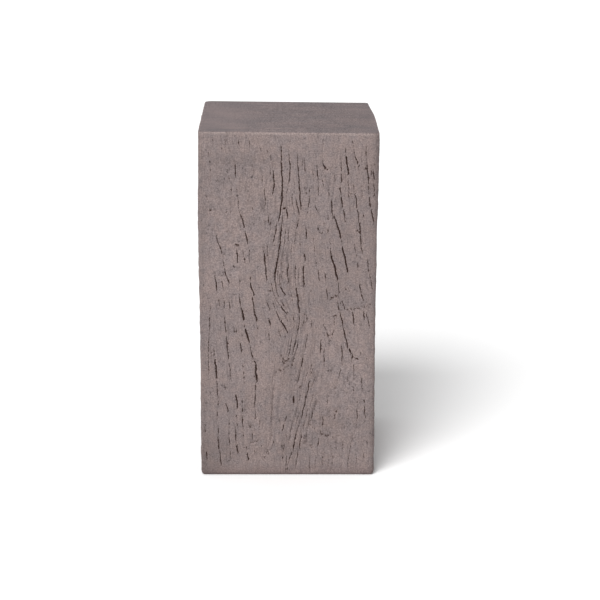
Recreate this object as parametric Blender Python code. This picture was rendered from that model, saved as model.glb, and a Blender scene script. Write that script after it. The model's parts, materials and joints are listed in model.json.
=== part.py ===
"""A square pedestal cast in the likeness of a weathered timber post.

The pedestal is one solid. Its four upright sides carry the slow hollows of an old beam and the
drying checks that open along the grain. Its top is one flat plane and so is its underside.
Metres, +Z up, with the origin at the middle of the underside and the best side facing -Y.
"""

import math
import random
from dataclasses import dataclass
from functools import lru_cache

import bmesh
import bpy
from mathutils import Matrix, Vector

MM = 0.001
LEVEL_TOLERANCE = 0.01 * MM
SHARP_ANGLE = math.radians(60)

# The block.
WIDTH = 0.305
DEPTH = 0.305
HEIGHT = 0.610
SHAFT_ARRIS_RADIUS = 0.007
TOP_ARRIS_RADIUS = 0.0025
ARRIS_SEGMENTS = 3
PANEL_PITCH = 0.0305

# How far the slow bulges and hollows of the sides rise and sink, for a strength of one.
WAVE_RISE = 0.001

# A drying check is a wedge. Its depth goes with its gape, which is its width at the surface.
DEPTH_PER_GAPE = 1.7
FLOOR_SHARE = 0.35
TIP_SHARE = 0.24
CUTTER_PROUD = 0.003
STATION_PITCH = 0.014
WANDER = 0.0006
WANDER_LENGTH = 0.036
BRIDGE = 0.005
BLUNTNESS = 0.6

# Checks scattered over the sides that are not the best one.
SCATTERED_CHECKS = 14
SHORTEST_CHECK = 0.028
LONGEST_CHECK = 0.105
FINEST_GAPE = 0.0021
WIDEST_GAPE = 0.0034
CHECK_SPACING = 0.014
CLEAR_OF_ARRIS = 0.012
CLEAR_OF_TOP = 0.022
CLEAR_OF_FOOT = 0.014
SCATTER_TRIES = 500


@dataclass(frozen=True)
class Region:
    """A round region of a face, its middle and reach in shares of the face, and its strength."""

    middle: tuple
    reach: tuple
    strength: float

    def at(self, across, up):
        """The strength at a place of the face, falling smoothly to nothing past the reach."""
        a = (across - self.middle[0]) / self.reach[0]
        b = (up - self.middle[1]) / self.reach[1]
        return self.strength * math.exp(-a * a - b * b)


@dataclass(frozen=True)
class Check:
    """A drying check, its head and foot in shares of the face and its gape in metres.

    A check of more than one part is bridged: a long crack that comes and goes.
    """

    head: tuple
    foot: tuple
    gape: float
    parts: int = 1


@dataclass(frozen=True)
class Side:
    """One upright side: its turn about Z from the front, and its grain, waves and checks.

    Shares run from -0.5 to 0.5 across the face and from 0 at the foot to 1 at the top. The lean
    of the grain is its run to the right for each length down.
    """

    turn: float
    lean: float
    drifts: tuple
    waves: tuple
    checks: tuple = ()
    seed: int = 0

    def breadth(self):
        """Width of this side."""
        return WIDTH if self.turn % 180 == 0 else DEPTH

    def reach(self):
        """Distance of this side from the block's axis."""
        return (DEPTH if self.turn % 180 == 0 else WIDTH) / 2

    def rightward(self):
        """Unit vector to the right along this side, as seen from outside."""
        return Matrix.Rotation(math.radians(self.turn), 3, "Z") @ Vector((1, 0, 0))

    def outward(self):
        """Unit vector out of this side."""
        return Matrix.Rotation(math.radians(self.turn), 3, "Z") @ Vector((0, -1, 0))

    def rise(self, across, up):
        """Rise of the side's waves at a place given in shares; its crest is at the full size."""
        return WAVE_RISE * sum(w.at(across, up) for w in self.waves) - crest(self)

    def grain_lean(self, across, up):
        """Run of the grain to the right for each length down, at a place given in shares."""
        return self.lean + sum(d.at(across, up) for d in self.drifts)

    def point(self, across, up, out):
        """The place of a point at given lengths across and up, lifted out of the waved side."""
        rise = self.rise(across / self.breadth(), up / HEIGHT)
        return (
            self.rightward() * across
            + self.outward() * (self.reach() + rise + out)
            + Vector((0, 0, up))
        )


@lru_cache
def crest(side):
    """The highest rise of a side's waves, over its panels' corners."""
    columns = max(1, round(side.breadth() / PANEL_PITCH))
    rows = max(1, round(HEIGHT / PANEL_PITCH))
    return max(
        WAVE_RISE * sum(w.at(i / columns - 0.5, j / rows) for w in side.waves)
        for i in range(columns + 1)
        for j in range(rows + 1)
    )


FRONT = Side(
    turn=0,
    lean=0.05,
    drifts=(
        Region((-0.25, 0.64), (0.20, 0.21), 0.13),
        Region((-0.23, 0.44), (0.15, 0.10), 0.12),
        Region((-0.06, 0.70), (0.09, 0.09), -0.28),
        Region((-0.05, 0.49), (0.08, 0.06), 0.50),
        Region((0.29, 0.65), (0.14, 0.20), 0.20),
        Region((0.33, 0.41), (0.12, 0.10), 0.12),
        Region((0.08, 0.18), (0.15, 0.18), -0.33),
    ),
    waves=(
        Region((-0.20, 0.77), (0.23, 0.15), -1.0),
        Region((0.23, 0.85), (0.20, 0.12), 0.8),
        Region((0.00, 0.54), (0.15, 0.10), 0.9),
        Region((-0.23, 0.18), (0.20, 0.12), 1.0),
        Region((0.31, 0.25), (0.20, 0.13), -1.1),
    ),
    checks=(
        Check((-0.041, 0.964), (-0.035, 0.859), 2.5 * MM),
        Check((-0.034, 0.850), (-0.055, 0.752), 3.4 * MM),
        Check((-0.085, 0.889), (-0.084, 0.830), 2.8 * MM),
        Check((0.001, 0.921), (-0.002, 0.842), 2.4 * MM),
        Check((0.054, 0.921), (0.065, 0.789), 2.9 * MM),
        Check((0.047, 0.810), (0.043, 0.730), 2.0 * MM),
        Check((0.152, 0.921), (0.157, 0.874), 2.1 * MM),
        Check((0.312, 0.934), (0.325, 0.887), 2.7 * MM),
        Check((0.428, 0.905), (0.437, 0.862), 2.1 * MM),
        Check((0.444, 0.820), (0.466, 0.749), 2.2 * MM),
        Check((0.280, 0.852), (0.311, 0.752), 2.1 * MM, 3),
        Check((0.367, 0.825), (0.410, 0.664), 2.2 * MM, 4),
        Check((0.234, 0.808), (0.290, 0.695), 3.3 * MM),
        Check((0.300, 0.674), (0.330, 0.608), 3.1 * MM),
        Check((0.240, 0.651), (0.278, 0.574), 3.6 * MM),
        Check((0.441, 0.638), (0.464, 0.555), 2.0 * MM),
        Check((0.295, 0.479), (0.357, 0.366), 2.6 * MM),
        Check((0.362, 0.489), (0.369, 0.459), 2.0 * MM),
        Check((-0.292, 0.908), (-0.290, 0.877), 2.1 * MM),
        Check((-0.275, 0.784), (-0.224, 0.698), 2.4 * MM),
        Check((-0.362, 0.657), (-0.326, 0.569), 2.1 * MM, 2),
        Check((-0.284, 0.669), (-0.282, 0.634), 2.2 * MM),
        Check((-0.137, 0.662), (-0.121, 0.580), 2.9 * MM),
        Check((-0.034, 0.744), (-0.073, 0.589), 2.8 * MM),
        Check((-0.048, 0.583), (-0.013, 0.538), 2.0 * MM),
        Check((-0.068, 0.493), (0.002, 0.428), 3.0 * MM),
        Check((0.047, 0.556), (0.064, 0.480), 3.6 * MM),
        Check((0.085, 0.616), (0.087, 0.567), 2.4 * MM),
        Check((-0.212, 0.577), (-0.174, 0.457), 2.6 * MM, 3),
        Check((-0.274, 0.544), (-0.249, 0.464), 4.4 * MM),
        Check((-0.242, 0.446), (-0.199, 0.349), 3.4 * MM),
        Check((-0.189, 0.341), (-0.175, 0.285), 3.2 * MM),
        Check((-0.440, 0.485), (-0.442, 0.420), 2.0 * MM),
        Check((-0.412, 0.351), (-0.400, 0.293), 2.7 * MM),
        Check((-0.349, 0.446), (-0.323, 0.293), 2.1 * MM, 3),
        Check((-0.353, 0.219), (-0.338, 0.187), 2.1 * MM),
        Check((-0.295, 0.244), (-0.288, 0.203), 2.7 * MM),
        Check((-0.295, 0.118), (-0.283, 0.069), 2.8 * MM),
        Check((-0.235, 0.079), (-0.223, 0.041), 2.3 * MM),
        Check((-0.395, 0.111), (-0.380, 0.034), 2.4 * MM),
        Check((0.110, 0.426), (0.077, 0.331), 2.3 * MM, 2),
        Check((0.115, 0.262), (0.093, 0.207), 3.2 * MM),
        Check((0.080, 0.180), (0.008, 0.048), 2.4 * MM, 2),
        Check((0.395, 0.200), (0.395, 0.171), 2.0 * MM),
        Check((0.186, 0.121), (0.232, 0.117), 2.2 * MM),
    ),
)

RIGHT = Side(
    turn=90,
    lean=0.03,
    drifts=(
        Region((-0.23, 0.69), (0.20, 0.18), -0.16),
        Region((0.07, 0.49), (0.10, 0.10), 0.35),
        Region((0.25, 0.30), (0.18, 0.20), 0.14),
        Region((-0.13, 0.21), (0.13, 0.12), 0.20),
    ),
    waves=(
        Region((-0.50, 0.46), (0.36, 0.26), -1.7),
        Region((-0.50, 0.72), (0.30, 0.06), -1.0),
        Region((0.26, 0.62), (0.26, 0.20), 1.2),
        Region((0.50, 0.25), (0.26, 0.15), -1.2),
    ),
    seed=23,
)

BACK = Side(
    turn=180,
    lean=-0.04,
    drifts=(
        Region((-0.20, 0.74), (0.16, 0.15), 0.20),
        Region((0.10, 0.34), (0.09, 0.09), -0.40),
        Region((0.30, 0.62), (0.16, 0.20), -0.15),
        Region((-0.30, 0.26), (0.16, 0.15), -0.12),
    ),
    waves=(
        Region((-0.50, 0.75), (0.30, 0.13), 1.3),
        Region((0.03, 0.49), (0.30, 0.18), -1.2),
        Region((0.39, 0.20), (0.30, 0.12), 1.1),
    ),
    seed=38,
)

LEFT = Side(
    turn=270,
    lean=0.02,
    drifts=(
        Region((-0.10, 0.62), (0.11, 0.12), -0.30),
        Region((0.20, 0.75), (0.16, 0.15), 0.18),
        Region((0.13, 0.23), (0.16, 0.15), -0.18),
        Region((-0.33, 0.36), (0.15, 0.20), 0.14),
    ),
    waves=(
        Region((0.50, 0.72), (0.33, 0.20), 1.8),
        Region((0.07, 0.41), (0.30, 0.16), -1.1),
        Region((-0.50, 0.54), (0.26, 0.23), -1.3),
    ),
    seed=52,
)

SIDES = (FRONT, RIGHT, BACK, LEFT)


def grain_line(side, across, head_up, foot_up, steps):
    """Places across of a line of grain at each step down from its head, all in metres."""
    places = [across]
    drop = (head_up - foot_up) / steps
    for i in range(steps):
        up = head_up - drop * i
        across += side.grain_lean(across / side.breadth(), up / HEIGHT) * drop
        places.append(across)
    return places


def check_route(side, head, foot):
    """Points down a check, in metres. They follow the grain, wander a little and end at its foot."""
    run = math.dist(head, foot)
    steps = max(2, round(run / STATION_PITCH))
    grain = grain_line(side, head[0], head[1], foot[1], steps)
    miss = foot[0] - grain[-1]
    phase = (head[0] + head[1]) * math.tau / WANDER_LENGTH
    route = []
    for i, across in enumerate(grain):
        share = i / steps
        turn = phase + math.tau * share * run / WANDER_LENGTH
        sway = WANDER * math.sin(turn) * math.sin(math.pi * share)
        route.append((across + miss * share + sway, head[1] + (foot[1] - head[1]) * share))
    return route


def check_stretches(side, check):
    """Head and foot in metres of each stretch of a check, with a bridge between stretches."""
    size = Vector((side.breadth(), HEIGHT))
    head = Vector(check.head) * size
    foot = Vector(check.foot) * size
    gap = BRIDGE / (foot - head).length / 2
    for i in range(check.parts):
        start = i / check.parts + (gap if i else 0)
        end = (i + 1) / check.parts - (gap if i + 1 < check.parts else 0)
        yield tuple(head.lerp(foot, start)), tuple(head.lerp(foot, end))


def opening_share(share):
    """How open a check is along its length: narrow at both tips and fully open in its middle."""
    return TIP_SHARE + (1 - TIP_SHARE) * math.sin(math.pi * share) ** BLUNTNESS


def check_section(side, route, index, gape):
    """The four corners of a check's cross-section at one station of its route."""
    before = Vector(route[max(0, index - 1)])
    after = Vector(route[min(len(route) - 1, index + 1)])
    down = (after - before).normalized()
    aside = Vector((-down.y, down.x))
    open_gape = gape * opening_share(index / (len(route) - 1))
    depth = open_gape * DEPTH_PER_GAPE
    floor_half = open_gape * FLOOR_SHARE / 2
    flare = (open_gape / 2 - floor_half) / depth
    outer_half = open_gape / 2 + flare * CUTTER_PROUD
    here = Vector(route[index])
    corners = (
        (outer_half, CUTTER_PROUD),
        (-outer_half, CUTTER_PROUD),
        (-floor_half, -depth),
        (floor_half, -depth),
    )
    return [side.point(here.x + aside.x * a, here.y + aside.y * a, out) for a, out in corners]


def add_check(cutter, side, head, foot, gape):
    """Adds one check to the cutter: its head section, extruded from station to station."""
    route = check_route(side, head, foot)
    corners = [cutter.verts.new(place) for place in check_section(side, route, 0, gape)]
    section = cutter.faces.new(corners)
    for index in range(1, len(route)):
        edges = list(section.edges)
        if index > 1:
            cutter.faces.remove(section)
        grown = bmesh.ops.extrude_edge_only(cutter, edges=edges)["geom"]
        moved = [item for item in grown if isinstance(item, bmesh.types.BMVert)]
        places = check_section(side, route, index, gape)
        corners = follow(corners, moved)
        for corner, place in zip(corners, places):
            corner.co = place
        section = cutter.faces.new(corners)


def follow(corners, moved):
    """Puts the vertices that an extrusion made in the order of those that they came from."""
    return [min(moved, key=lambda v, c=corner: (v.co - c.co).length) for corner in corners]


def scattered_checks(side):
    """Checks laid at random along the grain of a side, each clear of the others."""
    rng = random.Random(side.seed)
    half = side.breadth() / 2 - CLEAR_OF_ARRIS
    found = []
    for _ in range(SCATTER_TRIES):
        if len(found) == SCATTERED_CHECKS:
            break
        length = rng.uniform(SHORTEST_CHECK, LONGEST_CHECK)
        head_up = rng.uniform(CLEAR_OF_FOOT + length, HEIGHT - CLEAR_OF_TOP)
        across = rng.uniform(-half, half)
        gape = rng.uniform(FINEST_GAPE, WIDEST_GAPE)
        steps = math.ceil(length / STATION_PITCH)
        end = grain_line(side, across, head_up, head_up - length, steps)[-1]
        check = ((across, head_up), (end, head_up - length), gape)
        if abs(end) < half and all(apart(check, other) for other in found):
            found.append(check)
    return found


def apart(one, other):
    """Whether two checks, each a head, a foot and a gape, pass clear of each other."""
    if max(one[1][1], other[1][1]) > min(one[0][1], other[0][1]) + CHECK_SPACING:
        return True
    gaps = [one[end][0] - other[end][0] for end in (0, 1)]
    return gaps[0] * gaps[1] > 0 and min(abs(gap) for gap in gaps) > CHECK_SPACING


def check_cutter():
    """All the checks of the four sides, as one object that only cuts."""
    bm = bmesh.new()
    for side in SIDES:
        for check in side.checks:
            for head, foot in check_stretches(side, check):
                add_check(bm, side, head, foot, check.gape)
        if not side.checks:
            for head, foot, gape in scattered_checks(side):
                add_check(bm, side, head, foot, gape)
    bmesh.ops.recalc_face_normals(bm, faces=bm.faces)
    bmesh.ops.triangulate(bm, faces=bm.faces)
    cutter = as_object("check_cutter", bm)
    cutter.hide_render = True
    cutter.display_type = "WIRE"
    return cutter


def as_object(name, bm):
    """Makes a named object of a bmesh and links it to the scene."""
    mesh = bpy.data.meshes.new(name)
    bm.to_mesh(mesh)
    bm.free()
    item = bpy.data.objects.new(name, mesh)
    bpy.context.scene.collection.objects.link(item)
    return item


def round_edges(bm, edges, radius):
    """Rounds edges to a radius."""
    bmesh.ops.bevel(
        bm,
        geom=edges,
        offset=radius,
        segments=ARRIS_SEGMENTS,
        profile=0.5,
        affect="EDGES",
        material=-1,
    )


def cut_into_panels(bm, axis, low, high):
    """Cuts the block across an axis, from low to high, into panels of about PANEL_PITCH."""
    count = max(1, round((high - low) / PANEL_PITCH))
    normal = Vector([float(i == axis) for i in range(3)])
    for i in range(1, count):
        parts = list(bm.verts) + list(bm.edges) + list(bm.faces)
        place = normal * (low + (high - low) * i / count)
        bmesh.ops.bisect_plane(bm, geom=parts, plane_co=place, plane_no=normal)


def join_level_faces(bm, up):
    """Joins the panels that lie at one height into one flat face."""
    level = [f for f in bm.faces if all(abs(v.co.z - up) < LEVEL_TOLERANCE for v in f.verts)]
    bmesh.ops.dissolve_faces(bm, faces=level)


def wave_sides(bm):
    """Moves the vertices by the waves of the sides, which fade out round the arrises."""
    moves = []
    for vert in bm.verts:
        move = Vector()
        for side in SIDES:
            inset = side.reach() - vert.co.dot(side.outward())
            share = max(0.0, 1 - inset / SHAFT_ARRIS_RADIUS)
            across = vert.co.dot(side.rightward()) / side.breadth()
            move += side.outward() * side.rise(across, vert.co.z / HEIGHT) * share
        moves.append(move)
    for vert, move in zip(bm.verts, moves):
        vert.co += move


def block():
    """The block with its rounded arrises and its waved sides, before the checks are cut."""
    bm = bmesh.new()
    bmesh.ops.create_cube(bm, size=1)
    bmesh.ops.scale(bm, vec=(WIDTH, DEPTH, HEIGHT), verts=bm.verts)
    bmesh.ops.translate(bm, vec=(0, 0, HEIGHT / 2), verts=bm.verts)
    below_top = [e for e in bm.edges if any(v.co.z < HEIGHT / 2 for v in e.verts)]
    round_edges(bm, below_top, SHAFT_ARRIS_RADIUS)
    top_rim = [
        e
        for e in bm.edges
        if all(abs(v.co.z - HEIGHT) < LEVEL_TOLERANCE for v in e.verts)
        and e.calc_face_angle(0) > SHARP_ANGLE
    ]
    round_edges(bm, top_rim, TOP_ARRIS_RADIUS)
    for axis, size in enumerate((WIDTH, DEPTH)):
        cut_into_panels(bm, axis, -size / 2, size / 2)
    cut_into_panels(bm, 2, 0, HEIGHT)
    join_level_faces(bm, 0)
    join_level_faces(bm, HEIGHT)
    wave_sides(bm)
    bmesh.ops.recalc_face_normals(bm, faces=bm.faces)
    bmesh.ops.triangulate(bm, faces=bm.faces)
    return as_object("pedestal", bm)


def cast_material():
    """The mauve-grey cast stuff of the block."""
    material = bpy.data.materials.new("timber_grained_casting")
    material.use_nodes = True
    shader = material.node_tree.nodes["Principled BSDF"]
    shader.inputs["Base Color"].default_value = (0.262, 0.212, 0.204, 1)
    shader.inputs["Roughness"].default_value = 0.9
    shader.inputs["Metallic"].default_value = 0
    return material


def build():
    """Clears the scene and builds the pedestal with its checks cut."""
    for item in list(bpy.data.objects):
        bpy.data.objects.remove(item)
    pedestal = block()
    pedestal.data.materials.append(cast_material())
    checks = pedestal.modifiers.new("drying_checks", "BOOLEAN")
    checks.operation = "DIFFERENCE"
    checks.solver = "EXACT"
    checks.object = check_cutter()


build()
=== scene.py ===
"""The looks of a square pedestal, cast in the likeness of a weathered timber post.

One piece stands for the whole block. Its sides carry the drying checks that open along the
grain, and its top is trowelled flat. It is shown on a pale floor in soft studio light.
"""

import json
import logging
import math
import random
from dataclasses import dataclass, field
from enum import Enum

import bmesh
import bpy
import numpy as np
from bmesh.types import BMEdge, BMesh, BMFace, BMLayerItem, BMVert
from bpy.types import Material, NodeSocket, NodeTree, Object
from mathutils import Matrix, Vector, noise

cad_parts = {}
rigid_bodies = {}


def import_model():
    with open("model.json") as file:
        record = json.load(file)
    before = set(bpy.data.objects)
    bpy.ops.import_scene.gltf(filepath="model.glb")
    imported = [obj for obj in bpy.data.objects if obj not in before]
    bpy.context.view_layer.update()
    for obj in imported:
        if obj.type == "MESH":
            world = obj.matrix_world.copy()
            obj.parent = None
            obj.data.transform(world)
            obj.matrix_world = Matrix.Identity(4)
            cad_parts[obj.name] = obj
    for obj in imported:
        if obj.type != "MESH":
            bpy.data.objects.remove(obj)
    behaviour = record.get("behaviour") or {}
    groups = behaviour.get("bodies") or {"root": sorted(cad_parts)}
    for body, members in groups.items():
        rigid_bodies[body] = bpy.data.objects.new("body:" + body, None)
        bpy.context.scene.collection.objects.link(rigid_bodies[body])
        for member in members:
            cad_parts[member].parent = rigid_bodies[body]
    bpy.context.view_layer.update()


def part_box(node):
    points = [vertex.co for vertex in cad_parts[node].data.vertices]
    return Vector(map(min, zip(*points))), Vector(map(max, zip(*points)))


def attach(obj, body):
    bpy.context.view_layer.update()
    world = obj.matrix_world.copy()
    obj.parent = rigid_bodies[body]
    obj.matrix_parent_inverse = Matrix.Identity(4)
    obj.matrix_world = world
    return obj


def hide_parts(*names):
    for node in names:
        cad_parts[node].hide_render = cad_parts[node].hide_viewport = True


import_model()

log = logging.getLogger("pedestal")

MM = 0.001
# Keeps a division by a length from failing.
TINY = 1e-9


def smoothstep(share: np.ndarray) -> np.ndarray:
    """Shares from 0 to 1, eased at both ends."""
    return share * share * (3 - 2 * share)


class Facing(Enum):
    """The four upright sides, each by its turn about Z from the front, in degrees."""

    FRONT = 0
    RIGHT = 90
    BACK = 180
    LEFT = 270


@dataclass(frozen=True)
class Region:
    """A round region of a face, its middle and reach in shares of the face, and its strength."""

    middle: tuple[float, float]
    reach: tuple[float, float]
    strength: float

    def at(self, across: np.ndarray, up: np.ndarray) -> np.ndarray:
        """How strong the region is at places on the face.

        Args:
            across: places across from the middle of the face, in shares of its width.
            up: places up from its foot, in shares of its height.

        Returns:
            The strength at each place, falling smoothly to nothing past the reach.
        """
        a = (across - self.middle[0]) / self.reach[0]
        b = (up - self.middle[1]) / self.reach[1]
        return self.strength * np.exp(-a * a - b * b)


@dataclass(frozen=True)
class Check:
    """A drying check on a face, in millimetres: across from its middle and up from its foot.

    The tone is how dark its bottom is painted, as shade in its depth, from 0 to 1. The bow is how
    far its middle stands to the right of the straight line from its head to its foot.
    """

    head: tuple[float, float]
    foot: tuple[float, float]
    gape: float
    tone: float = 1.0
    bow: float = 0.0

    def length(self) -> float:
        """Length from head to foot, in millimetres."""
        return math.dist(self.head, self.foot)

    def drop(self) -> float:
        """Height from head to foot, in millimetres: at least one, because it divides."""
        return max(self.head[1] - self.foot[1], 1.0)

    def lean(self) -> float:
        """Run to the right for each length down."""
        return (self.foot[0] - self.head[0]) / self.drop()

    def lean_along(self, share: float) -> float:
        """Run to the right for each length down at a share of the way down, with its bow."""
        return self.lean() + 4 * self.bow * (1 - 2 * share) / max(self.length(), 1.0)

    def across(self, share: np.ndarray) -> np.ndarray:
        """Place across of its line at shares of the way down, without its wander."""
        straight = self.head[0] + (self.foot[0] - self.head[0]) * share
        return straight + 4 * self.bow * share * (1 - share)


@dataclass(frozen=True)
class Crease:
    """A soft groove in any direction on a face, in millimetres like a check.

    A depth below nothing gives a ridge. The tone is how dark its bottom is painted, as shade.
    """

    start: tuple[float, float]
    end: tuple[float, float]
    width: float = 6.0
    depth: float = 0.5
    tone: float = 0.0
    bow: float = 0.0
    steps_of_bow: int = 8

    def near(self, across: np.ndarray, up: np.ndarray) -> np.ndarray:
        """How near places are to the crease, from 1 on its line to 0 at its width and past it.

        Args:
            across: places across from the middle of the face, in millimetres.
            up: places up from its foot, in millimetres.

        Returns:
            The nearness of each place, shaped like a smooth hill across the crease.
        """
        start, end = np.array(self.start), np.array(self.end)
        run = end - start
        side = np.array([-run[1], run[0]]) / max(math.dist(self.start, self.end), TINY)
        steps = self.steps_of_bow if self.bow else 1
        shares = np.linspace(0, 1, steps + 1)[:, None]
        line = start + run * shares + side * 4 * self.bow * shares * (1 - shares)
        closest = np.full(across.shape, np.inf)
        for a, b in zip(line, line[1:]):
            along = b - a
            share = ((across - a[0]) * along[0] + (up - a[1]) * along[1]) / max(along @ along, TINY)
            share = np.clip(share, 0, 1)
            miss = np.hypot(across - a[0] - along[0] * share, up - a[1] - along[1] * share)
            closest = np.minimum(closest, miss)
        return smoothstep(np.clip(1 - closest / self.width, 0, 1))


@dataclass(frozen=True)
class Carving:
    """What all checks have in common. Lengths are in millimetres.

    Gape: it narrows to the tip share at both ends, or nearly to the bold one where the tone is
    near 1, and it comes and goes over the fray length, in a bold check less. One that crosses
    only a few rows has the short swelling.
    Depth: it goes with the gape, and a check without tone has only the faint share of it.
    Line: a check wanders off it over the wander length. One that leans more than the crossing
    lean is cut across the grain, with the crossing width to each side.
    Tone: the bottom is painted darker, as shade in the check, by the contrast from the pale share
    of the gape on, the lips take the lip_shade, painted shade too, and within the rim width of an
    arris the face is painted darker, as shade where it turns away from the lamps.
    Room: a check takes one of the nearest columns of the net that has the fewest rows and the
    least clear share of them free.
    """

    tip_share: float = 0.42
    bold_tip_share: float = 0.65
    boldness: int = 6
    bluntness: float = 0.5
    short_swelling: tuple[float, ...] = (0.5, 1.0, 0.5)
    fray: float = 0.70
    fray_of_bold: float = 0.35
    fray_length: float = 5.0
    fewest_frays: int = 2
    depth_per_gape: float = 1.5
    faint_depth: float = 0.4
    wander: float = 0.55
    wander_length: float = 24.0
    crossing_lean: float = 1.2
    crossing_width: float = 2.2
    contrast: float = 1.6
    pale_share: float = 0.25
    faintest: float = 0.15
    lip_shade: float = 0.14
    # How much darker the face is painted near an arris, and how far in: painted shade where it turns
    # away from the lamps.
    rim_painted_shade: float = 0.11
    rim_width: float = 4.0
    narrowest_lip: float = 0.5
    narrowest_gap: float = 0.22
    clear_of_arris: float = 1.5
    clear_columns: int = 3
    nearest_columns: int = 5
    fewest_rows: int = 2
    least_clear: float = 0.4


@dataclass(frozen=True)
class Grain:
    """How the grain, and the net of columns that follows it, runs between the checks.

    A check bends the grain round it as far as the reach, in millimetres, fading out to the
    cutoff times the reach. Each round of evening draws a point of the net towards the middle of
    its neighbours, and those above and below it count for the upright share of those beside it.
    """

    background_weight: float = 0.05
    reach_across: float = 13.0
    reach_up: float = 26.0
    cutoff: float = 3.0
    shortest_leaning: float = 9.0
    steepest: float = 1.2
    edge_calm: float = 12 * MM
    straightening: float = 0.03
    upright_share: float = 0.35
    rounds_at_first: int = 100
    rounds_for_one: int = 10
    rows_round_one: int = 10
    rounds_for_all: int = 400


@dataclass(frozen=True)
class SideCarving:
    """What is carved on one upright side.

    The columns say how finely it is netted. The lean is the grain's run to the right for each
    length down, and the drifts add to it. The waves and the bosses raise the face, in
    millimetres, the ribs make its ridges higher, and the painted patches make it lighter or
    darker: partly its own blotches, partly painted light and shade.
    """

    facing: Facing
    columns: int
    lean: float
    drifts: tuple[Region, ...]
    waves: tuple[Region, ...]
    ribs: tuple[Region, ...] = ()
    checks: tuple[Check, ...] = ()
    creases: tuple[Crease, ...] = ()
    bosses: tuple[Region, ...] = ()
    stains_and_shading: tuple[Region, ...] = ()
    seed: int = 0


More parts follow.
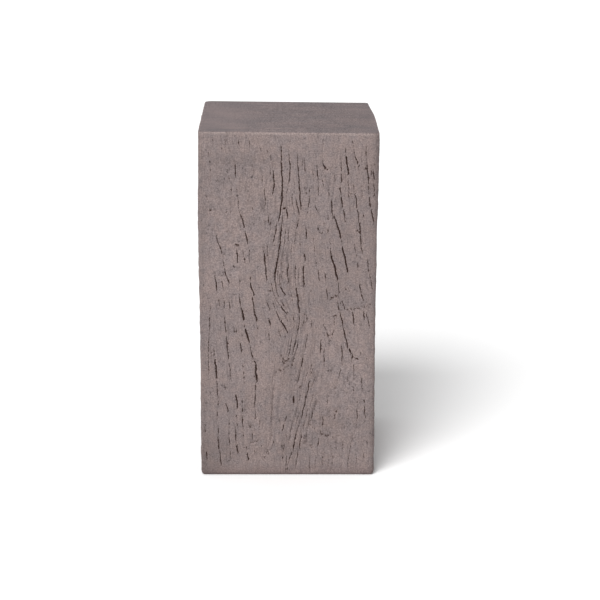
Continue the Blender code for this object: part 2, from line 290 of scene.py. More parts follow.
FRONT_CREASES = (
    # The small bark pocket below the knot, and what hangs from it.
    Crease((-11, 219.5), (-7, 208), 3.8, 1.7, 0.26),
    Crease((-7, 208), (-5.6, 200), 3.2, 1.4, 0.26),
    Crease((-6.5, 213), (1, 211), 3.4, 1.7, 0.32),
    Crease((1.4, 215), (10.5, 222), 3.4, -1.4),
    Crease((10.4, 216), (6.2, 202), 3.4, 1.6, 0.28),
    Crease((-10.5, 195), (-1.4, 200.5), 3.4, -1.4),
    Crease((-14.5, 193.5), (-12, 191), 3, 1.2, 0.36),
    Crease((2, 202), (-20, 190), 4.2, 1.2, 0.11),
    Crease((-20, 190), (-27, 172), 4.2, 0.8, 0.08),
    Crease((-33, 183), (-20, 176), 3.4, 0.8, 0.11),
    Crease((-58, 183), (-44, 182), 3.4, 0.8, 0.11),
    # Soft ridges and grooves of the grain that runs round the knot.
    Crease((-5, 410), (-6, 346), 2.2, 0.6, 0.07, -1.6),
    Crease((-2.6, 404), (-3.2, 348), 2.2, -0.6, 0, -1.8),
    Crease((6.6, 400), (7.4, 340), 2.2, 0.6, 0.07, -1.4),
    Crease((3.8, 398), (4.4, 344), 2.2, -0.6, 0, -1.8),
    Crease((-26.8, 352), (-16, 318), 2.2, -0.6, 0, 1.4),
    Crease((-11, 366), (0, 326), 2.2, -0.7, 0, 1.6),
    Crease((-8, 362), (6, 318), 2.2, 0.6, 0.07, 1.6),
    Crease((-14.6, 326), (2, 300), 2.2, -0.7),
    Crease((-16.4, 306), (1.6, 272), 2.2, -0.6),
    Crease((16.6, 300), (12.2, 256), 2.4, -0.8, 0, -1),
    Crease((12, 254), (4.4, 222), 2.4, -0.8),
    Crease((16.2, 246), (9.6, 220), 2.2, -0.8),
    Crease((22.6, 290), (18.6, 232), 3, -0.7, 0, -1),
    Crease((29.6, 258), (21, 200), 2.6, -0.8, 0, -1),
    # Long soft grooves that swing to the left on the way down.
    Crease((-24, 164), (-28, 82), 4.7, 1.2, 0.06, 1.5),
    Crease((-27, 80), (-32, 52), 3.9, 1, 0.07),
    Crease((-32, 53), (-43, 30), 4.4, 1.2, 0.12),
    Crease((-21, 160), (-24, 85), 4.7, -0.7, 0, 1.5),
    Crease((-22, 78), (-29, 52), 3.9, -0.7),
    Crease((-12, 150), (-18, 118), 3.9, 0.7, 0.06),
    # The soft fan beside the long lines low in the middle.
    Crease((25.5, 142), (6.6, 60), 2.4, -0.8, 0, -1),
    Crease((21.5, 140), (2.6, 62), 2.4, 0.6, 0.06, -1),
    Crease((17, 138), (-1.4, 64), 2.4, -0.7, 0, -1),
    Crease((12, 132), (-6, 60), 2.4, 0.6, 0.06, -1),
    Crease((6, 130), (-12, 58), 2.6, -0.7, 0, -1),
    Crease((-2, 134), (-14, 84), 2.6, 0.6, 0.05),
    Crease((35.4, 142), (16.4, 60), 2.4, -0.8, 0, -1),
    Crease((44, 138), (26, 64), 2.4, -0.7, 0, -1),
    Crease((48.6, 134), (31, 68), 2.4, 0.6, 0.06, -1),
    Crease((40, 204), (24, 150), 2.6, -0.7, 0, 1),
    Crease((30, 200), (14, 150), 2.6, -0.7, 0, 1),
    Crease((24.6, 198), (8, 150), 2.6, 0.6, 0.06, 1),
    Crease((-30, 48), (-40, 26), 3, 0.9, 0.1),
    # Lumps low on the left.
    Crease((-82, 54), (-71, 52), 3.4, 1, 0.12),
    Crease((-63, 61), (-48, 64), 3.9, 1.6, 0.14),
    Crease((-70, 86), (-62, 94), 3.1, 0.8, 0.19),
    Crease((-64, 107), (-56, 106), 3.1, 0.8, 0.22),
    Crease((-52, 46), (-44, 34), 3.9, 0.8, 0.07),
    # The arch, the pad above it and the ring low on the right.
    Crease((34, 86), (48, 86), 3.1, 1.8, 0.16, 4),
    Crease((50, 84), (52, 70), 3.1, 0.7, 0.08),
    Crease((66, 120), (98, 121), 5.2, 1.2, 0.03),
    Crease((83, 119), (81, 100), 3.1, 0.8, 0.19),
    Crease((84, 164), (66, 134), 3.9, 0.8, 0.07),
    Crease((97, 148), (84, 128), 3.9, -0.5),
    Crease((121, 86), (110, 52), 3.9, 1, 0.07, -3),
    Crease((112, 50), (132, 46), 3.9, 0.8, 0.06, -3),
    Crease((74, 73), (80, 69), 2.9, 0.7, 0.17),
    # Breaks that run across the grain on the right.
    Crease((100, 302), (126, 306), 3.1, 1, 0.21),
    Crease((126, 306), (140, 313), 3.1, 1, 0.21),
    Crease((62, 194.5), (74, 192.5), 3.4, 0.8, 0.17),
    Crease((124, 216), (148, 215.5), 2.9, 0.7, 0.11),
    Crease((52, 456), (67, 454.5), 2.9, 0.9, 0.11),
    Crease((66.5, 455), (67, 470), 2.6, 0.7, 0.12),
    Crease((98, 340), (105, 336), 2.9, 0.7, 0.17),
    # Soft folds on the left.
    Crease((-86, 244), (-14, 243), 5.2, 0.7, 0, 3),
    Crease((-108, 377), (-84, 381), 3.9, -0.8),
    Crease((-36, 386), (-24, 385), 3.4, 0.8, 0.08),
    Crease((-150, 560), (-40, 556), 11.7, 0.8, 0, -4),
)

# Where the front is painted lighter or darker, in shares of it: partly its own blotches, partly painted
# shade and light, as in the bark pocket, the hollows, along the right edge and in the lower left
# corner.
FRONT_STAINS_AND_SHADING = (
    Region((-0.25, 0.925), (0.2, 0.018), -0.05),
    Region((-0.31, 0.6), (0.16, 0.2), 0.03),
    Region((-0.28, 0.32), (0.12, 0.05), 0.04),
    Region((0.34, 0.36), (0.14, 0.05), 0.04),
    Region((0.33, 0.6), (0.1, 0.07), -0.05),
    Region((0.49, 0.66), (0.05, 0.1), -0.05),
    Region((-0.5, 0.33), (0.06, 0.06), -0.05),
    Region((-0.095, 0.235), (0.018, 0.035), -0.08),
    Region((0.03, 0.189), (0.06, 0.03), -0.08),
    Region((-0.026, 0.082), (0.022, 0.014), -0.08),
    Region((0, 0.29), (0.07, 0.03), -0.07),
    Region((0.33, 0.71), (0.02, 0.01), -0.14),
    Region((-0.32, 0.91), (0.24, 0.03), -0.05),
    Region((-0.5, 0.04), (0.13, 0.09), -0.24),
    Region((-0.33, 0.075), (0.09, 0.03), -0.08),
    Region((0.03, 0.08), (0.08, 0.03), -0.1),
    Region((0.3, 0.165), (0.16, 0.03), -0.08),
    Region((0.01, 0.33), (0.08, 0.025), -0.11),
    Region((0.49, 0.9), (0.06, 0.14), -0.09),
    Region((-0.48, 0.73), (0.06, 0.05), -0.04),
    Region((-0.47, 0.21), (0.06, 0.05), -0.05),
    Region((0.32, 0.71), (0.14, 0.07), -0.03),
    Region((0.22, 0.53), (0.1, 0.03), -0.06),
    Region((0, 0.98), (0.5, 0.025), 0.04),
    Region((-0.42, 1), (0.012, 0.02), -0.14),
    Region((0.21, 0.115), (0.07, 0.03), -0.07),
    Region((-0.5, 0.97), (0.06, 0.05), 0.06),
    Region((-0.34, 1), (0.012, 0.03), -0.16),
    Region((-0.19, 1), (0.01, 0.02), -0.1),
    Region((0.16, 1), (0.012, 0.03), -0.16),
    Region((0.27, 1), (0.01, 0.02), -0.1),
    Region((-0.34, 0.61), (0.12, 0.06), 0.05),
    Region((-0.31, 0.69), (0.13, 0.1), 0.04),
    Region((-0.28, 0.325), (0.08, 0.03), 0.07),
    Region((0.2, 0.8), (0.07, 0.07), 0.06),
    Region((0.25, 0.35), (0.08, 0.05), 0.05),
    Region((0.26, 0.2), (0.08, 0.012), 0.06),
    Region((0.39, 0.61), (0.08, 0.05), 0.03),
    Region((-0.14, 0.36), (0.06, 0.06), 0.05),
    Region((0, 0.1), (0.8, 0.16), -0.03),
    Region((0.5, 0.38), (0.04, 0.6), -0.05),
    Region((0, 0.87), (0.1, 0.08), 0.05),
    Region((-0.15, 0.54), (0.05, 0.06), 0.04),
    Region((0.38, 0.29), (0.1, 0.06), 0.05),
)

FRONT_CHECKS = (
    # Upper left: few, short and broken.
    Check((-103.5, 598), (-96.5, 576), 1.4, 0.3),
    Check((-84, 593), (-82, 589), 2, 0.7),
    Check((-89.5, 556), (-88.3, 532), 2.2, 0.85),
    Check((-100.5, 536), (-98, 525), 1.6, 0.45),
    Check((-97, 514), (-93, 506), 1.8, 0.6),
    Check((-60.5, 554), (-58, 543), 1.8, 0.5),
    Check((-69.5, 495), (-66, 488), 1.6, 0.45),
    Check((-62, 482), (-58, 474), 1.7, 0.5),
    Check((-85.5, 506), (-82.8, 474), 1.6, 0.45),
    Check((-82.4, 475), (-77, 460), 2, 0.85),
    Check((-77.6, 462), (-73.4, 445), 2.4),
    Check((-73, 440), (-68, 417), 2.5, 0.9),
    Check((-66.4, 413), (-65.2, 386), 1.5, 0.4),
    Check((-127, 598), (-124, 590), 1.7, 0.55),
    Check((-132, 560), (-129.8, 556), 1.9, 0.7),
    Check((-130.5, 550), (-130, 526), 1.3, 0.38),
    Check((-118, 540), (-117.2, 524), 1.3, 0.36),
    Check((-112, 586), (-110.6, 578), 1.4, 0.42),
    Check((-98.4, 582), (-96, 573), 1.7, 0.55),
    Check((-107, 600), (-103.6, 586), 1.4, 0.42),
    Check((-66, 600), (-64, 586), 1.3, 0.38),
    Check((-134.6, 574), (-132.6, 569), 1.6, 0.5),
    Check((-96.8, 513), (-94.6, 508), 2, 0.8),
    Check((-88.6, 514), (-85.6, 511), 1.7, 0.6),
    Check((-73, 518), (-70.8, 513), 1.6, 0.55),
    Check((-131.6, 477), (-128.6, 475), 1.6, 0.55),
    Check((-98.6, 476), (-96.4, 468), 1.6, 0.55),
    Check((-47.6, 586), (-46, 578), 1.5, 0.48),
    Check((-30.4, 549), (-29.8, 536), 1.3, 0.38),
    Check((-44.2, 538), (-43.4, 522), 1.3, 0.36),
    # Upper centre: the long ones that start below the top edge.
    Check((-37.5, 586), (-34.5, 574), 1.5, 0.4),
    Check((-32, 572), (-26.5, 545), 1.4, 0.3, 1.5),
    Check((-25.8, 545), (-26.6, 504), 2.6, 0.95, 1.8),
    Check((-12.8, 590), (-12.2, 552), 2.1, 0.75, 0.6),
    Check((-12.6, 560), (-10.4, 520), 2.4, 0.88, 0.5),
    Check((-10.5, 522), (-16.9, 456), 3, 1, 2),
    Check((0.3, 580), (1.4, 562), 1.4, 0.35),
    Check((0.7, 564), (-0.6, 522), 2.2, 0.82, 2.6),
    Check((-0.6, 520), (-4, 500), 1.5, 0.4),
    Check((-8, 480), (-3.2, 477.5), 2.2, 0.8),
    Check((-4, 479), (-1.2, 462), 2.4, 0.9, 0.8),
    Check((-32.5, 473), (-33, 450), 1.6, 0.5),
    Check((-40.5, 518), (-38.5, 484), 1.8, 0.5),
    Check((14.3, 576), (14.8, 556), 1.5, 0.4),
    Check((14.6, 557), (17.6, 520), 2.1, 0.8, 0.8),
    Check((17.7, 524), (21.2, 478), 2.6, 0.92, 0),
    Check((12.4, 496), (17.8, 470), 1.9, 0.7, 0.3),
    Check((18.2, 470), (12.4, 443), 2, 0.75, 1.6),
    Check((6.5, 505), (6, 482), 1.7, 0.5),
    Check((25.5, 565), (28, 543), 1.6, 0.45),
    Check((23, 570), (22.6, 552), 1.3, 0.3),
    Check((46.4, 556), (49.6, 530), 2.2, 0.8),
    Check((50, 528), (50.2, 502), 1.4, 0.35),
    Check((56.6, 566), (56.8, 555), 1.6, 0.5),
    Check((57.4, 557), (61.2, 549), 3.4),
    Check((61, 550), (65, 547.5), 2, 0.8),
    Check((54.5, 538), (58, 518), 1.7, 0.5, 0.8),
    Check((47.5, 592), (46.5, 586), 1.8, 0.5),
    Check((34.8, 516), (30.2, 464), 1.9, 0.5, 1.8),
    Check((29.6, 447), (30.7, 428), 2.3, 0.6),
    Check((44.3, 497), (46, 490), 2, 0.55),
    Check((43, 486), (50.8, 472), 1.7, 0.5),
    # Upper right: long leaning ones.
    Check((71.4, 495), (75, 462), 2.2, 0.8),
    Check((74.8, 470), (88.6, 427), 3.1, 1, 1.6),
    Check((89.4, 428), (90.6, 416), 1.8, 0.6),
    Check((91, 413), (101.2, 368), 3.3, 1, 0.5),
    Check((86.4, 570), (88.4, 546), 1.7, 0.6),
    Check((87.9, 538), (88.7, 526), 2, 0.75),
    Check((93.8, 586), (95.4, 570), 1.4, 0.4),
    Check((95.1, 571), (99.9, 540), 3, 1, 0.4),
    Check((98.7, 530), (101, 518), 1.9, 0.6),
    Check((101, 515), (101.5, 492), 1.4, 0.35),
    Check((85.3, 516), (88.4, 504), 2.2, 0.85),
    Check((88.6, 500), (91, 482), 2.3, 0.9),
    Check((92.4, 478), (95.8, 456), 1.9, 0.8),
    Check((108, 592), (109.8, 572), 1.4, 0.35),
    Check((109.8, 572), (115.6, 558), 2.3, 0.95),
    Check((116, 556), (118.5, 542), 1.4, 0.4),
    Check((108.9, 522), (110.3, 508), 1.7, 0.6),
    Check((110.8, 506), (114.9, 482), 2.5, 0.95, 0.8),
    Check((115.3, 478), (118.7, 456), 2.5, 0.95, 0.5),
    Check((119.3, 456), (121.7, 440), 2.2, 0.9),
    Check((121.2, 436), (122.8, 418), 1.9, 0.8),
    Check((122.6, 416), (126, 400), 1.7, 0.7),
    Check((128.7, 590), (129.8, 562), 1.5, 0.4),
    Check((129.6, 562), (133.8, 524), 2.3, 0.85, 0.4),
    Check((133.7, 520), (134.8, 502), 1.5, 0.45),
    Check((135.2, 500), (138.2, 480), 2.4, 0.9),
    Check((138.4, 478), (144.6, 454), 2.3, 0.85),
    Check((143.5, 566), (146, 556), 2, 0.7),
    Check((141.2, 548), (143.6, 528), 2.2, 0.8),
    Check((142.8, 524), (143.6, 510), 2.2, 0.75),
    Check((145.5, 516), (148.2, 500), 2.2, 0.7),
    Check((126, 469), (127.4, 464), 2.2, 0.8),
    Check((25.8, 517), (30, 510), 2, 0.8),
    Check((57.2, 600), (56.8, 572), 1.3, 0.36),
    Check((45, 601), (46.8, 590), 1.5, 0.48),
    Check((105.4, 600), (108, 582), 1.2, 0.34),
    Check((120.4, 574), (123, 552), 1.2, 0.34),
    Check((9, 530), (9.6, 506), 1.3, 0.36),
    Check((40.2, 548), (41.4, 530), 1.2, 0.34),
    Check((66, 520), (68, 500), 1.2, 0.32),
    Check((76.2, 546), (78, 526), 1.2, 0.32),
    Check((121.8, 520), (124.8, 500), 1.3, 0.38),
    Check((49.6, 447), (51.8, 442), 1.9, 0.7),
    Check((52.4, 437.4), (59, 436.6), 1.4, 0.38),
    Check((69, 421), (72.6, 417), 1.5, 0.5),
    Check((116, 440.4), (121.4, 437.6), 1.4, 0.55),
    # Middle left: a family that leans to the right as it runs down.
    Check((-121.6, 432), (-110.6, 400), 1.9, 0.75, -0.8),
    Check((-110.6, 402), (-108.8, 378), 1.8, 0.55),
    Check((-108.8, 378), (-99, 346), 2.2, 0.7, -0.8),
    Check((-93.4, 383), (-90.4, 373), 1.9, 0.6),
    Check((-83.5, 415), (-89, 416.5), 1.6, 0.6),
    Check((-87.2, 412), (-85.6, 386), 2.2, 0.85),
    Check((-77, 408), (-75, 394), 1.8, 0.5),
    Check((-74.8, 394), (-72.6, 384), 2.2, 0.85),
    Check((-71.8, 380), (-71.2, 368), 1.5, 0.45),
    Check((-66.2, 404), (-63.4, 386), 1.5, 0.45),
    Check((-64.8, 360), (-63.6, 352), 2.4, 0.85),
    Check((-64.2, 350), (-57.6, 328), 2.8, 1, -0.5),
    Check((-60.8, 324), (-58.6, 302), 2.4, 0.9, 0.6),
    Check((-58.6, 304), (-52.8, 280), 2.6, 0.85),
    Check((-124.4, 363), (-120.8, 332), 2, 0.85, 0.3),
    Check((-113, 355), (-108.8, 333), 1.6, 0.5),
    Check((-131, 316), (-134.6, 294), 1.6, 0.5),
    Check((-134.2, 298), (-134.6, 262), 1.8, 0.52, 0.6),
    Check((-134.8, 260), (-136.4, 226), 1.5, 0.46),
    Check((-136.6, 224), (-136, 186), 1.6, 0.5),
    Check((-118.6, 322), (-116.4, 306), 1.5, 0.45),
    Check((-109.2, 318), (-108, 306), 1.9, 0.7),
    Check((-99.8, 316), (-99, 302), 1.9, 0.65),
    Check((-82.8, 357), (-80.4, 346), 2, 0.7),
    Check((-83.4, 331), (-80.4, 308), 1.8, 0.65),
    Check((-80.6, 308), (-78.8, 300), 2.4, 0.85),
    Check((-78.4, 301), (-75, 282), 4.6),
    Check((-74.6, 278), (-73.4, 268), 2, 0.8),
    Check((-73.2, 266), (-66.2, 242), 3.8, 1, 0.8),
    Check((-65.8, 242), (-58.6, 210), 1.9, 0.75, -0.4),
    Check((-58.8, 212), (-53.8, 203), 2.6),
    Check((-55, 205), (-55.6, 190), 3, 1, 0.9),
    Check((-56.4, 192), (-52.2, 172), 3.4),
    Check((-55.4, 170), (-55.8, 150), 1.8, 0.6),
    Check((-56.2, 150), (-57, 128), 2.2, 0.8),
    Check((-57, 126), (-55, 104), 1.6, 0.45),
    # Middle centre: the knot, and the grain that runs round it.
    Check((-43.2, 414), (-41.4, 402), 1.4, 0.4),
    Check((-40.6, 402), (-35.8, 353), 2.6, 0.92, -0.4),
    Check((-26.2, 318), (-21.6, 303), 1.6, 0.52),
    Check((-35.4, 314), (-31, 304), 2, 0.75),
    Check((-9, 474), (-11.6, 448), 1.9, 0.6),
    Check((-11.5, 452), (-18.6, 388), 2.6, 0.98, 1),
    Check((-18.6, 388), (-22.6, 355), 3.3, 1, -0.8),
    Check((-22.5, 356), (-15.7, 324), 1.6, 0.52, -1.2),
    Check((-18.8, 317.5), (-12.6, 309), 1.5, 0.5),
    Check((-18.9, 456), (-25.4, 421), 2.3, 0.8, 0.5),
    Check((-13.8, 366), (-13.8, 344.5), 1.6, 0.55),
    Check((-13.6, 344), (-3.2, 327.5), 2.7, 0.95, -0.9),
    Check((-14.2, 321.5), (-5, 307), 1.9, 0.68),
    Check((-12.8, 309), (-1, 293.5), 2.4, 0.92, -0.2),
    Check((-6.6, 293.5), (0.8, 280.5), 1.8, 0.62),
    Check((-19.8, 298), (-12.4, 281), 2.3, 0.85, -0.3),
    Check((-12.8, 283), (0.6, 260), 3, 1, 0.4),
    Check((-16.4, 266), (-12.2, 254), 1.9, 0.65),
    Check((-32.6, 286), (-29.8, 272), 2.6, 0.8),
    Check((0.8, 386), (1.2, 349), 2.1, 0.6, -2.2),
    Check((4, 336), (10.2, 308), 1.3, 0.35),
    Check((12.6, 384), (13.6, 342), 1.7, 0.52, -1.2),
    Check((13.8, 340), (19.4, 295), 3, 1, 0.4),
    Check((19.3, 294), (15.4, 259), 1.9, 0.62, 1.2),
    Check((15.2, 258), (7.6, 222), 1.8, 0.6, 0.5),
    Check((18.2, 250), (11.6, 219), 1.6, 0.52, 0.5),
    Check((6.6, 256), (0.8, 219), 1.6, 0.52, 1),
    Check((27.2, 402), (29.4, 388), 2.3, 0.8),
    Check((26.2, 380), (26, 366), 3, 1, -0.6),
    Check((25.6, 368), (27, 342), 2.4, 0.85, 0.3),
    Check((26.4, 336), (28.2, 316), 1.4, 0.35),
    Check((6.5, 424), (5.4, 400), 1.6, 0.45),
    Check((28.4, 300), (24.4, 270), 1.4, 0.4, 0.8),
    Check((-51.6, 347), (-48.4, 344), 1.7, 0.58),
    Check((-29.4, 352), (-25.6, 334), 1.3, 0.42),
    Check((-25.4, 333), (-19.4, 318.5), 1.4, 0.46),
    Check((-52, 269), (-48.6, 264), 1.8, 0.65),
    Check((-33.4, 264), (-31.4, 246), 1.3, 0.38),
    Check((-36.2, 420), (-34.4, 398), 1.3, 0.4),
    Check((-29, 462), (-33, 430), 1.3, 0.4, 0.6),
    Check((-3.8, 448), (-8.4, 408), 1.3, 0.42, 0.4),
    Check((-9.4, 404), (-10, 352), 1.3, 0.34, -1),
    Check((1, 446), (-0.6, 420), 1.2, 0.38),
    Check((-16.8, 378), (-17.6, 346), 1.3, 0.36, -0.4),
    Check((12.6, 440), (10.4, 414), 1.2, 0.38),
    Check((20.8, 440), (19.6, 412), 1.2, 0.36),
    Check((18.6, 376), (18.4, 346), 1.2, 0.3, -0.6),
    Check((9.2, 294), (9.8, 266), 1.4, 0.45),
    Check((-6.6, 268), (-3, 250), 1.3, 0.4),
    # Middle right.
    Check((70.8, 411), (72.4, 396), 1.8, 0.6),
    Check((72, 398), (84.6, 352), 3.6, 1, 1),
    Check((84.9, 350), (87.8, 330), 1.9, 0.65),
    Check((88.4, 320), (91.2, 308), 1.6, 0.5),
    Check((91.3, 319), (96.4, 306), 2, 0.75),
    Check((96.2, 305), (98.2, 299), 2.4, 0.85),
    Check((62, 368), (64.8, 350), 2, 0.7),
    Check((65.2, 341), (67.9, 323), 2.5, 0.85),
    Check((50.2, 374), (53.8, 352), 1.7, 0.6),
    Check((41.6, 430), (44.6, 400), 1.5, 0.45, 0.6),
    Check((44.8, 398), (48.6, 378), 1.4, 0.4),
    Check((117.2, 387), (118.4, 373), 2.1, 0.8),
    Check((111.3, 417), (115.8, 396), 1.5, 0.45),
    Check((134.3, 391), (137, 368), 2, 0.7),
    Check((138, 366), (145.8, 330), 1.6, 0.5, -0.3),
    Check((120.6, 348), (129.8, 314), 2.1, 0.75, -0.4),
    Check((129.4, 300), (130.6, 284), 2, 0.75),
    Check((132.8, 297), (140.6, 270), 1.7, 0.6),
    Check((110.2, 300), (112.7, 278), 2.2, 0.85),
    Check((83.2, 318), (88.9, 296), 1.8, 0.7),
    Check((88.6, 298), (94.8, 268), 2.2, 0.9, 0.3),
    Check((94.6, 270), (103.4, 232), 2.3, 0.9, 0.3),
    Check((103, 236), (109.4, 223), 2.8),
    Check((109, 223), (113, 217.5), 1.6, 0.65),
    Check((111, 217.5), (120, 214.5), 1.3, 0.5),
    Check((124, 230), (126, 218), 1.5, 0.45),
    Check((60, 277), (67, 262), 1.8, 0.65),
    Check((66.2, 263), (69.6, 255), 2.3, 0.8),
    Check((69, 255.6), (75.6, 254.2), 1.4, 0.6),
    Check((78.6, 266), (75.6, 255), 1.6, 0.5),
    Check((79.4, 290), (78.6, 268), 1.3, 0.38),
    Check((84, 327.5), (70, 321), 1.2, 0.38),
    Check((84.5, 327), (90, 318), 1.3, 0.38),
    Check((41.5, 337.5), (34, 331), 1.3, 0.48),
    Check((76, 292), (83, 290.8), 1.2, 0.42),
    # Lower left.
    Check((-108.8, 289), (-106, 262), 2.2, 0.7),
    Check((-106.4, 274), (-106, 268), 2.6, 0.9),
    Check((-105.4, 254), (-101.8, 213), 2.3, 0.8, -0.2),
    Check((-101.4, 208), (-98, 178), 2.2, 0.75, 0.2),
    Check((-127.6, 234), (-126.2, 218), 1.5, 0.45),
    Check((-125.6, 214), (-122, 177), 3),
    Check((-122.6, 174), (-121.8, 160), 1.7, 0.6),
    Check((-122.8, 160), (-120.2, 144), 2.2, 0.85),
    Check((-120.6, 137), (-120.2, 128), 2.4, 0.9),
    Check((-121.8, 118), (-122.4, 104), 1.8, 0.6),
    Check((-81.7, 243), (-79.2, 227), 2, 0.75),
    Check((-77.4, 206), (-76.6, 196), 2, 0.6),
    Check((-75.8, 192), (-75.6, 188), 2.3, 0.85),
    Check((-75.6, 182), (-75.2, 178), 2.3, 0.8),
    Check((-75.2, 172), (-74.6, 166), 1.8, 0.6),
    Check((-93, 274), (-90.8, 260), 1.7, 0.55),
    Check((-89.2, 274), (-88.2, 260), 1.6, 0.5),
    Check((-78.8, 257), (-77.8, 250), 2, 0.55),
    Check((-69.6, 264), (-69, 252), 1.4, 0.4),
    Check((-110.6, 168), (-107, 158), 1.9, 0.6),
    Check((-107.4, 133), (-102.2, 116), 2.3, 0.8),
    Check((-90, 148), (-87, 124), 2.8, 0.95, 0.6),
    Check((-89.4, 110), (-87.2, 105), 1.9, 0.66),
    Check((-88.2, 97), (-86.2, 88), 1.9, 0.65),
    Check((-78.6, 144), (-77.8, 133), 1.9, 0.65),
    Check((-78.2, 126), (-78.2, 118), 2.1, 0.75),
    Check((-79, 110), (-77.8, 92), 1.9, 0.7, -0.3),
    Check((-77.6, 91), (-76, 84), 2.4, 0.85),
    Check((-77.6, 79), (-76.4, 70), 1.9, 0.65),
    Check((-101.6, 105), (-101.8, 88), 1.5, 0.45),
    Check((-102.4, 82), (-100.4, 52), 1.8, 0.55),
    Check((-99.8, 48), (-99.8, 28), 1.5, 0.4),
    Check((-144.6, 93), (-142.6, 80), 1.8, 0.6, -0.8),
    Check((-120, 92), (-120.8, 76), 1.9, 0.6),
    Check((-121.4, 72), (-118.4, 44), 2.3, 0.85, -0.3),
    Check((-118.4, 46), (-115.2, 17), 2.2, 0.75),
    Check((-90.6, 84), (-89.4, 58), 1.9, 0.7),
    Check((-89.4, 58), (-85.6, 40), 2.8),
    Check((-91, 92), (-89.2, 76), 1.5, 0.5),
    Check((-141.6, 45), (-140.2, 28), 2.2, 0.8),
    Check((-71.8, 52), (-70.4, 43), 2, 0.7),
    Check((-70.4, 40), (-67.2, 27), 2.8, 0.95),
    Check((-61, 82), (-61.4, 66), 2, 0.5),
    Check((-58.4, 52), (-56, 40), 1.8, 0.55),
    # Lower centre: the fan of lines that leans to the left as it runs down.
    Check((33.6, 261), (26.8, 220), 1.8, 0.6, 0.8),
    Check((26.7, 219), (23, 200), 2, 0.66),
    Check((21.4, 197), (18.2, 172), 1.7, 0.52),
    Check((36.8, 186), (36.4, 172), 1.4, 0.4),
    Check((40.6, 206), (35.4, 176), 1.3, 0.35, 1.5),
    Check((37.2, 174), (32.6, 148), 2.1, 0.75, 0.4),
    Check((33, 150), (30.2, 140), 3.2),
    Check((30.8, 142), (23.4, 104), 2.2, 0.78, 0.5),
    Check((23.4, 106), (16.6, 84), 1.6, 0.55),
    Check((16.8, 86), (11.4, 62), 1.9, 0.72, 0.3),
    Check((11.6, 64), (9.4, 44), 2.3, 0.88, 0.5),
    Check((9.4, 46), (2, 28), 1.9, 0.66, 0.5),
    Check((2, 28), (-0.6, 8), 1.6, 0.5),
    Check((-1, 112), (-5.6, 96), 1.9, 0.7),
    Check((-5.4, 98), (-10, 80), 1.8, 0.65),
    Check((9.4, 145), (10.6, 134), 3.2),
    Check((22, 152), (20.6, 138), 1.3, 0.35),
    Check((43.8, 124), (38.4, 94), 1.6, 0.5, 0.6),
    Check((38, 108), (36.4, 90), 1.3, 0.4),
    Check((24.4, 78), (21.6, 60), 1.7, 0.6),
    Check((21.8, 62), (20.8, 50), 2.2, 0.82),
    Check((18.6, 48), (13.4, 10), 1.7, 0.6, 0.4),
    Check((28.8, 76), (29.6, 60), 1.5, 0.4),
    Check((-8.6, 33), (-7.6, 28), 2.6, 0.9),
    Check((-1.6, 36), (-2.8, 6), 1.6, 0.5),
    Check((-7.6, 52), (-10.2, 40), 1.5, 0.4),
    Check((-48, 106), (-49.4, 88), 1.7, 0.45),
    Check((-46, 60), (-44.6, 50), 1.8, 0.5),
    Check((-24.6, 150), (-28.2, 96), 1.3, 0.3, -1),
    Check((-22, 78), (-30, 44), 1.3, 0.3, 1.2),
    Check((43.6, 197), (36.8, 178), 1.4, 0.42),
    Check((34.2, 190), (27.8, 168), 1.3, 0.4),
    Check((48.4, 184), (41, 160), 1.3, 0.4),
    Check((27.6, 182), (22.6, 160), 1.3, 0.38),
    Check((44.4, 152), (39.6, 128), 1.3, 0.4),
    Check((50, 138), (44.4, 114), 1.3, 0.36),
    Check((36.2, 128), (30.4, 102), 1.3, 0.42),
    Check((30.2, 100), (26.2, 84), 1.4, 0.42),
    Check((17.4, 128), (11.6, 102), 1.3, 0.4),
    Check((20.6, 116), (14, 92), 1.2, 0.38),
    Check((9.4, 100), (3.6, 78), 1.3, 0.4),
    Check((5, 76), (1.4, 56), 1.3, 0.4),
    Check((-4.2, 76), (-0.6, 70), 1.9, 0.65),
    Check((-11.2, 56), (-7.2, 50), 1.7, 0.6),
    Check((-4.6, 60), (-8.2, 42), 1.3, 0.42),
    Check((33.2, 80), (31.6, 58), 1.4, 0.45),
    Check((-16, 104), (-13, 99), 1.7, 0.55),
    # Lower right: faint and nearly upright.
    Check((106.6, 40), (106, 12), 1.3, 0.4),
    Check((71.8, 38), (71.4, 13), 1.3, 0.38),
    Check((79.4, 40), (78.2, 18), 1.3, 0.36),
    Check((61.2, 40), (61.6, 16), 1.2, 0.34),
    Check((49.8, 42), (49, 12), 1.2, 0.32),
    Check((39.8, 36), (38.4, 12), 1.2, 0.32),
    Check((120.8, 34), (120.2, 12), 1.2, 0.32),
    Check((133.6, 44), (132, 24), 1.3, 0.36),
    Check((114.8, 72), (111.4, 58), 1.3, 0.4),
    Check((96.6, 64), (96, 44), 1.2, 0.34),
    Check((104, 126), (103.2, 116), 1.5, 0.48),
    Check((72.4, 122), (72.2, 108), 1.4, 0.42),
    Check((85.2, 119), (84.6, 114), 2, 0.75),
    Check((109.6, 216), (109.6, 196), 1.2, 0.36),
    Check((124.6, 230), (123, 218), 1.3, 0.42),
    Check((104.4, 190), (103.2, 172), 1.3, 0.36),
    Check((70.6, 250), (71, 232), 1.2, 0.34),
    Check((40, 284), (40.6, 266), 1.4, 0.42),
    Check((38.4, 304), (37.8, 290), 1.4, 0.42),
    Check((30.4, 296), (34.6, 280), 1.3, 0.4),
    Check((56.6, 247), (55.4, 224), 2.4, 0.65),
    Check((62.4, 236), (62.8, 198), 1.6, 0.45, -0.4),
    Check((92.2, 240), (93.8, 204), 1.8, 0.6),
    Check((93.6, 214), (94.4, 208), 2.2, 0.75),
    Check((91.6, 196), (84.6, 172), 1.7, 0.55, 0.8),
    Check((70.4, 148), (68, 126), 1.5, 0.45),
    Check((112.8, 204), (114.8, 176), 1.8, 0.55),
    Check((113.6, 166), (115, 152), 1.8, 0.5),
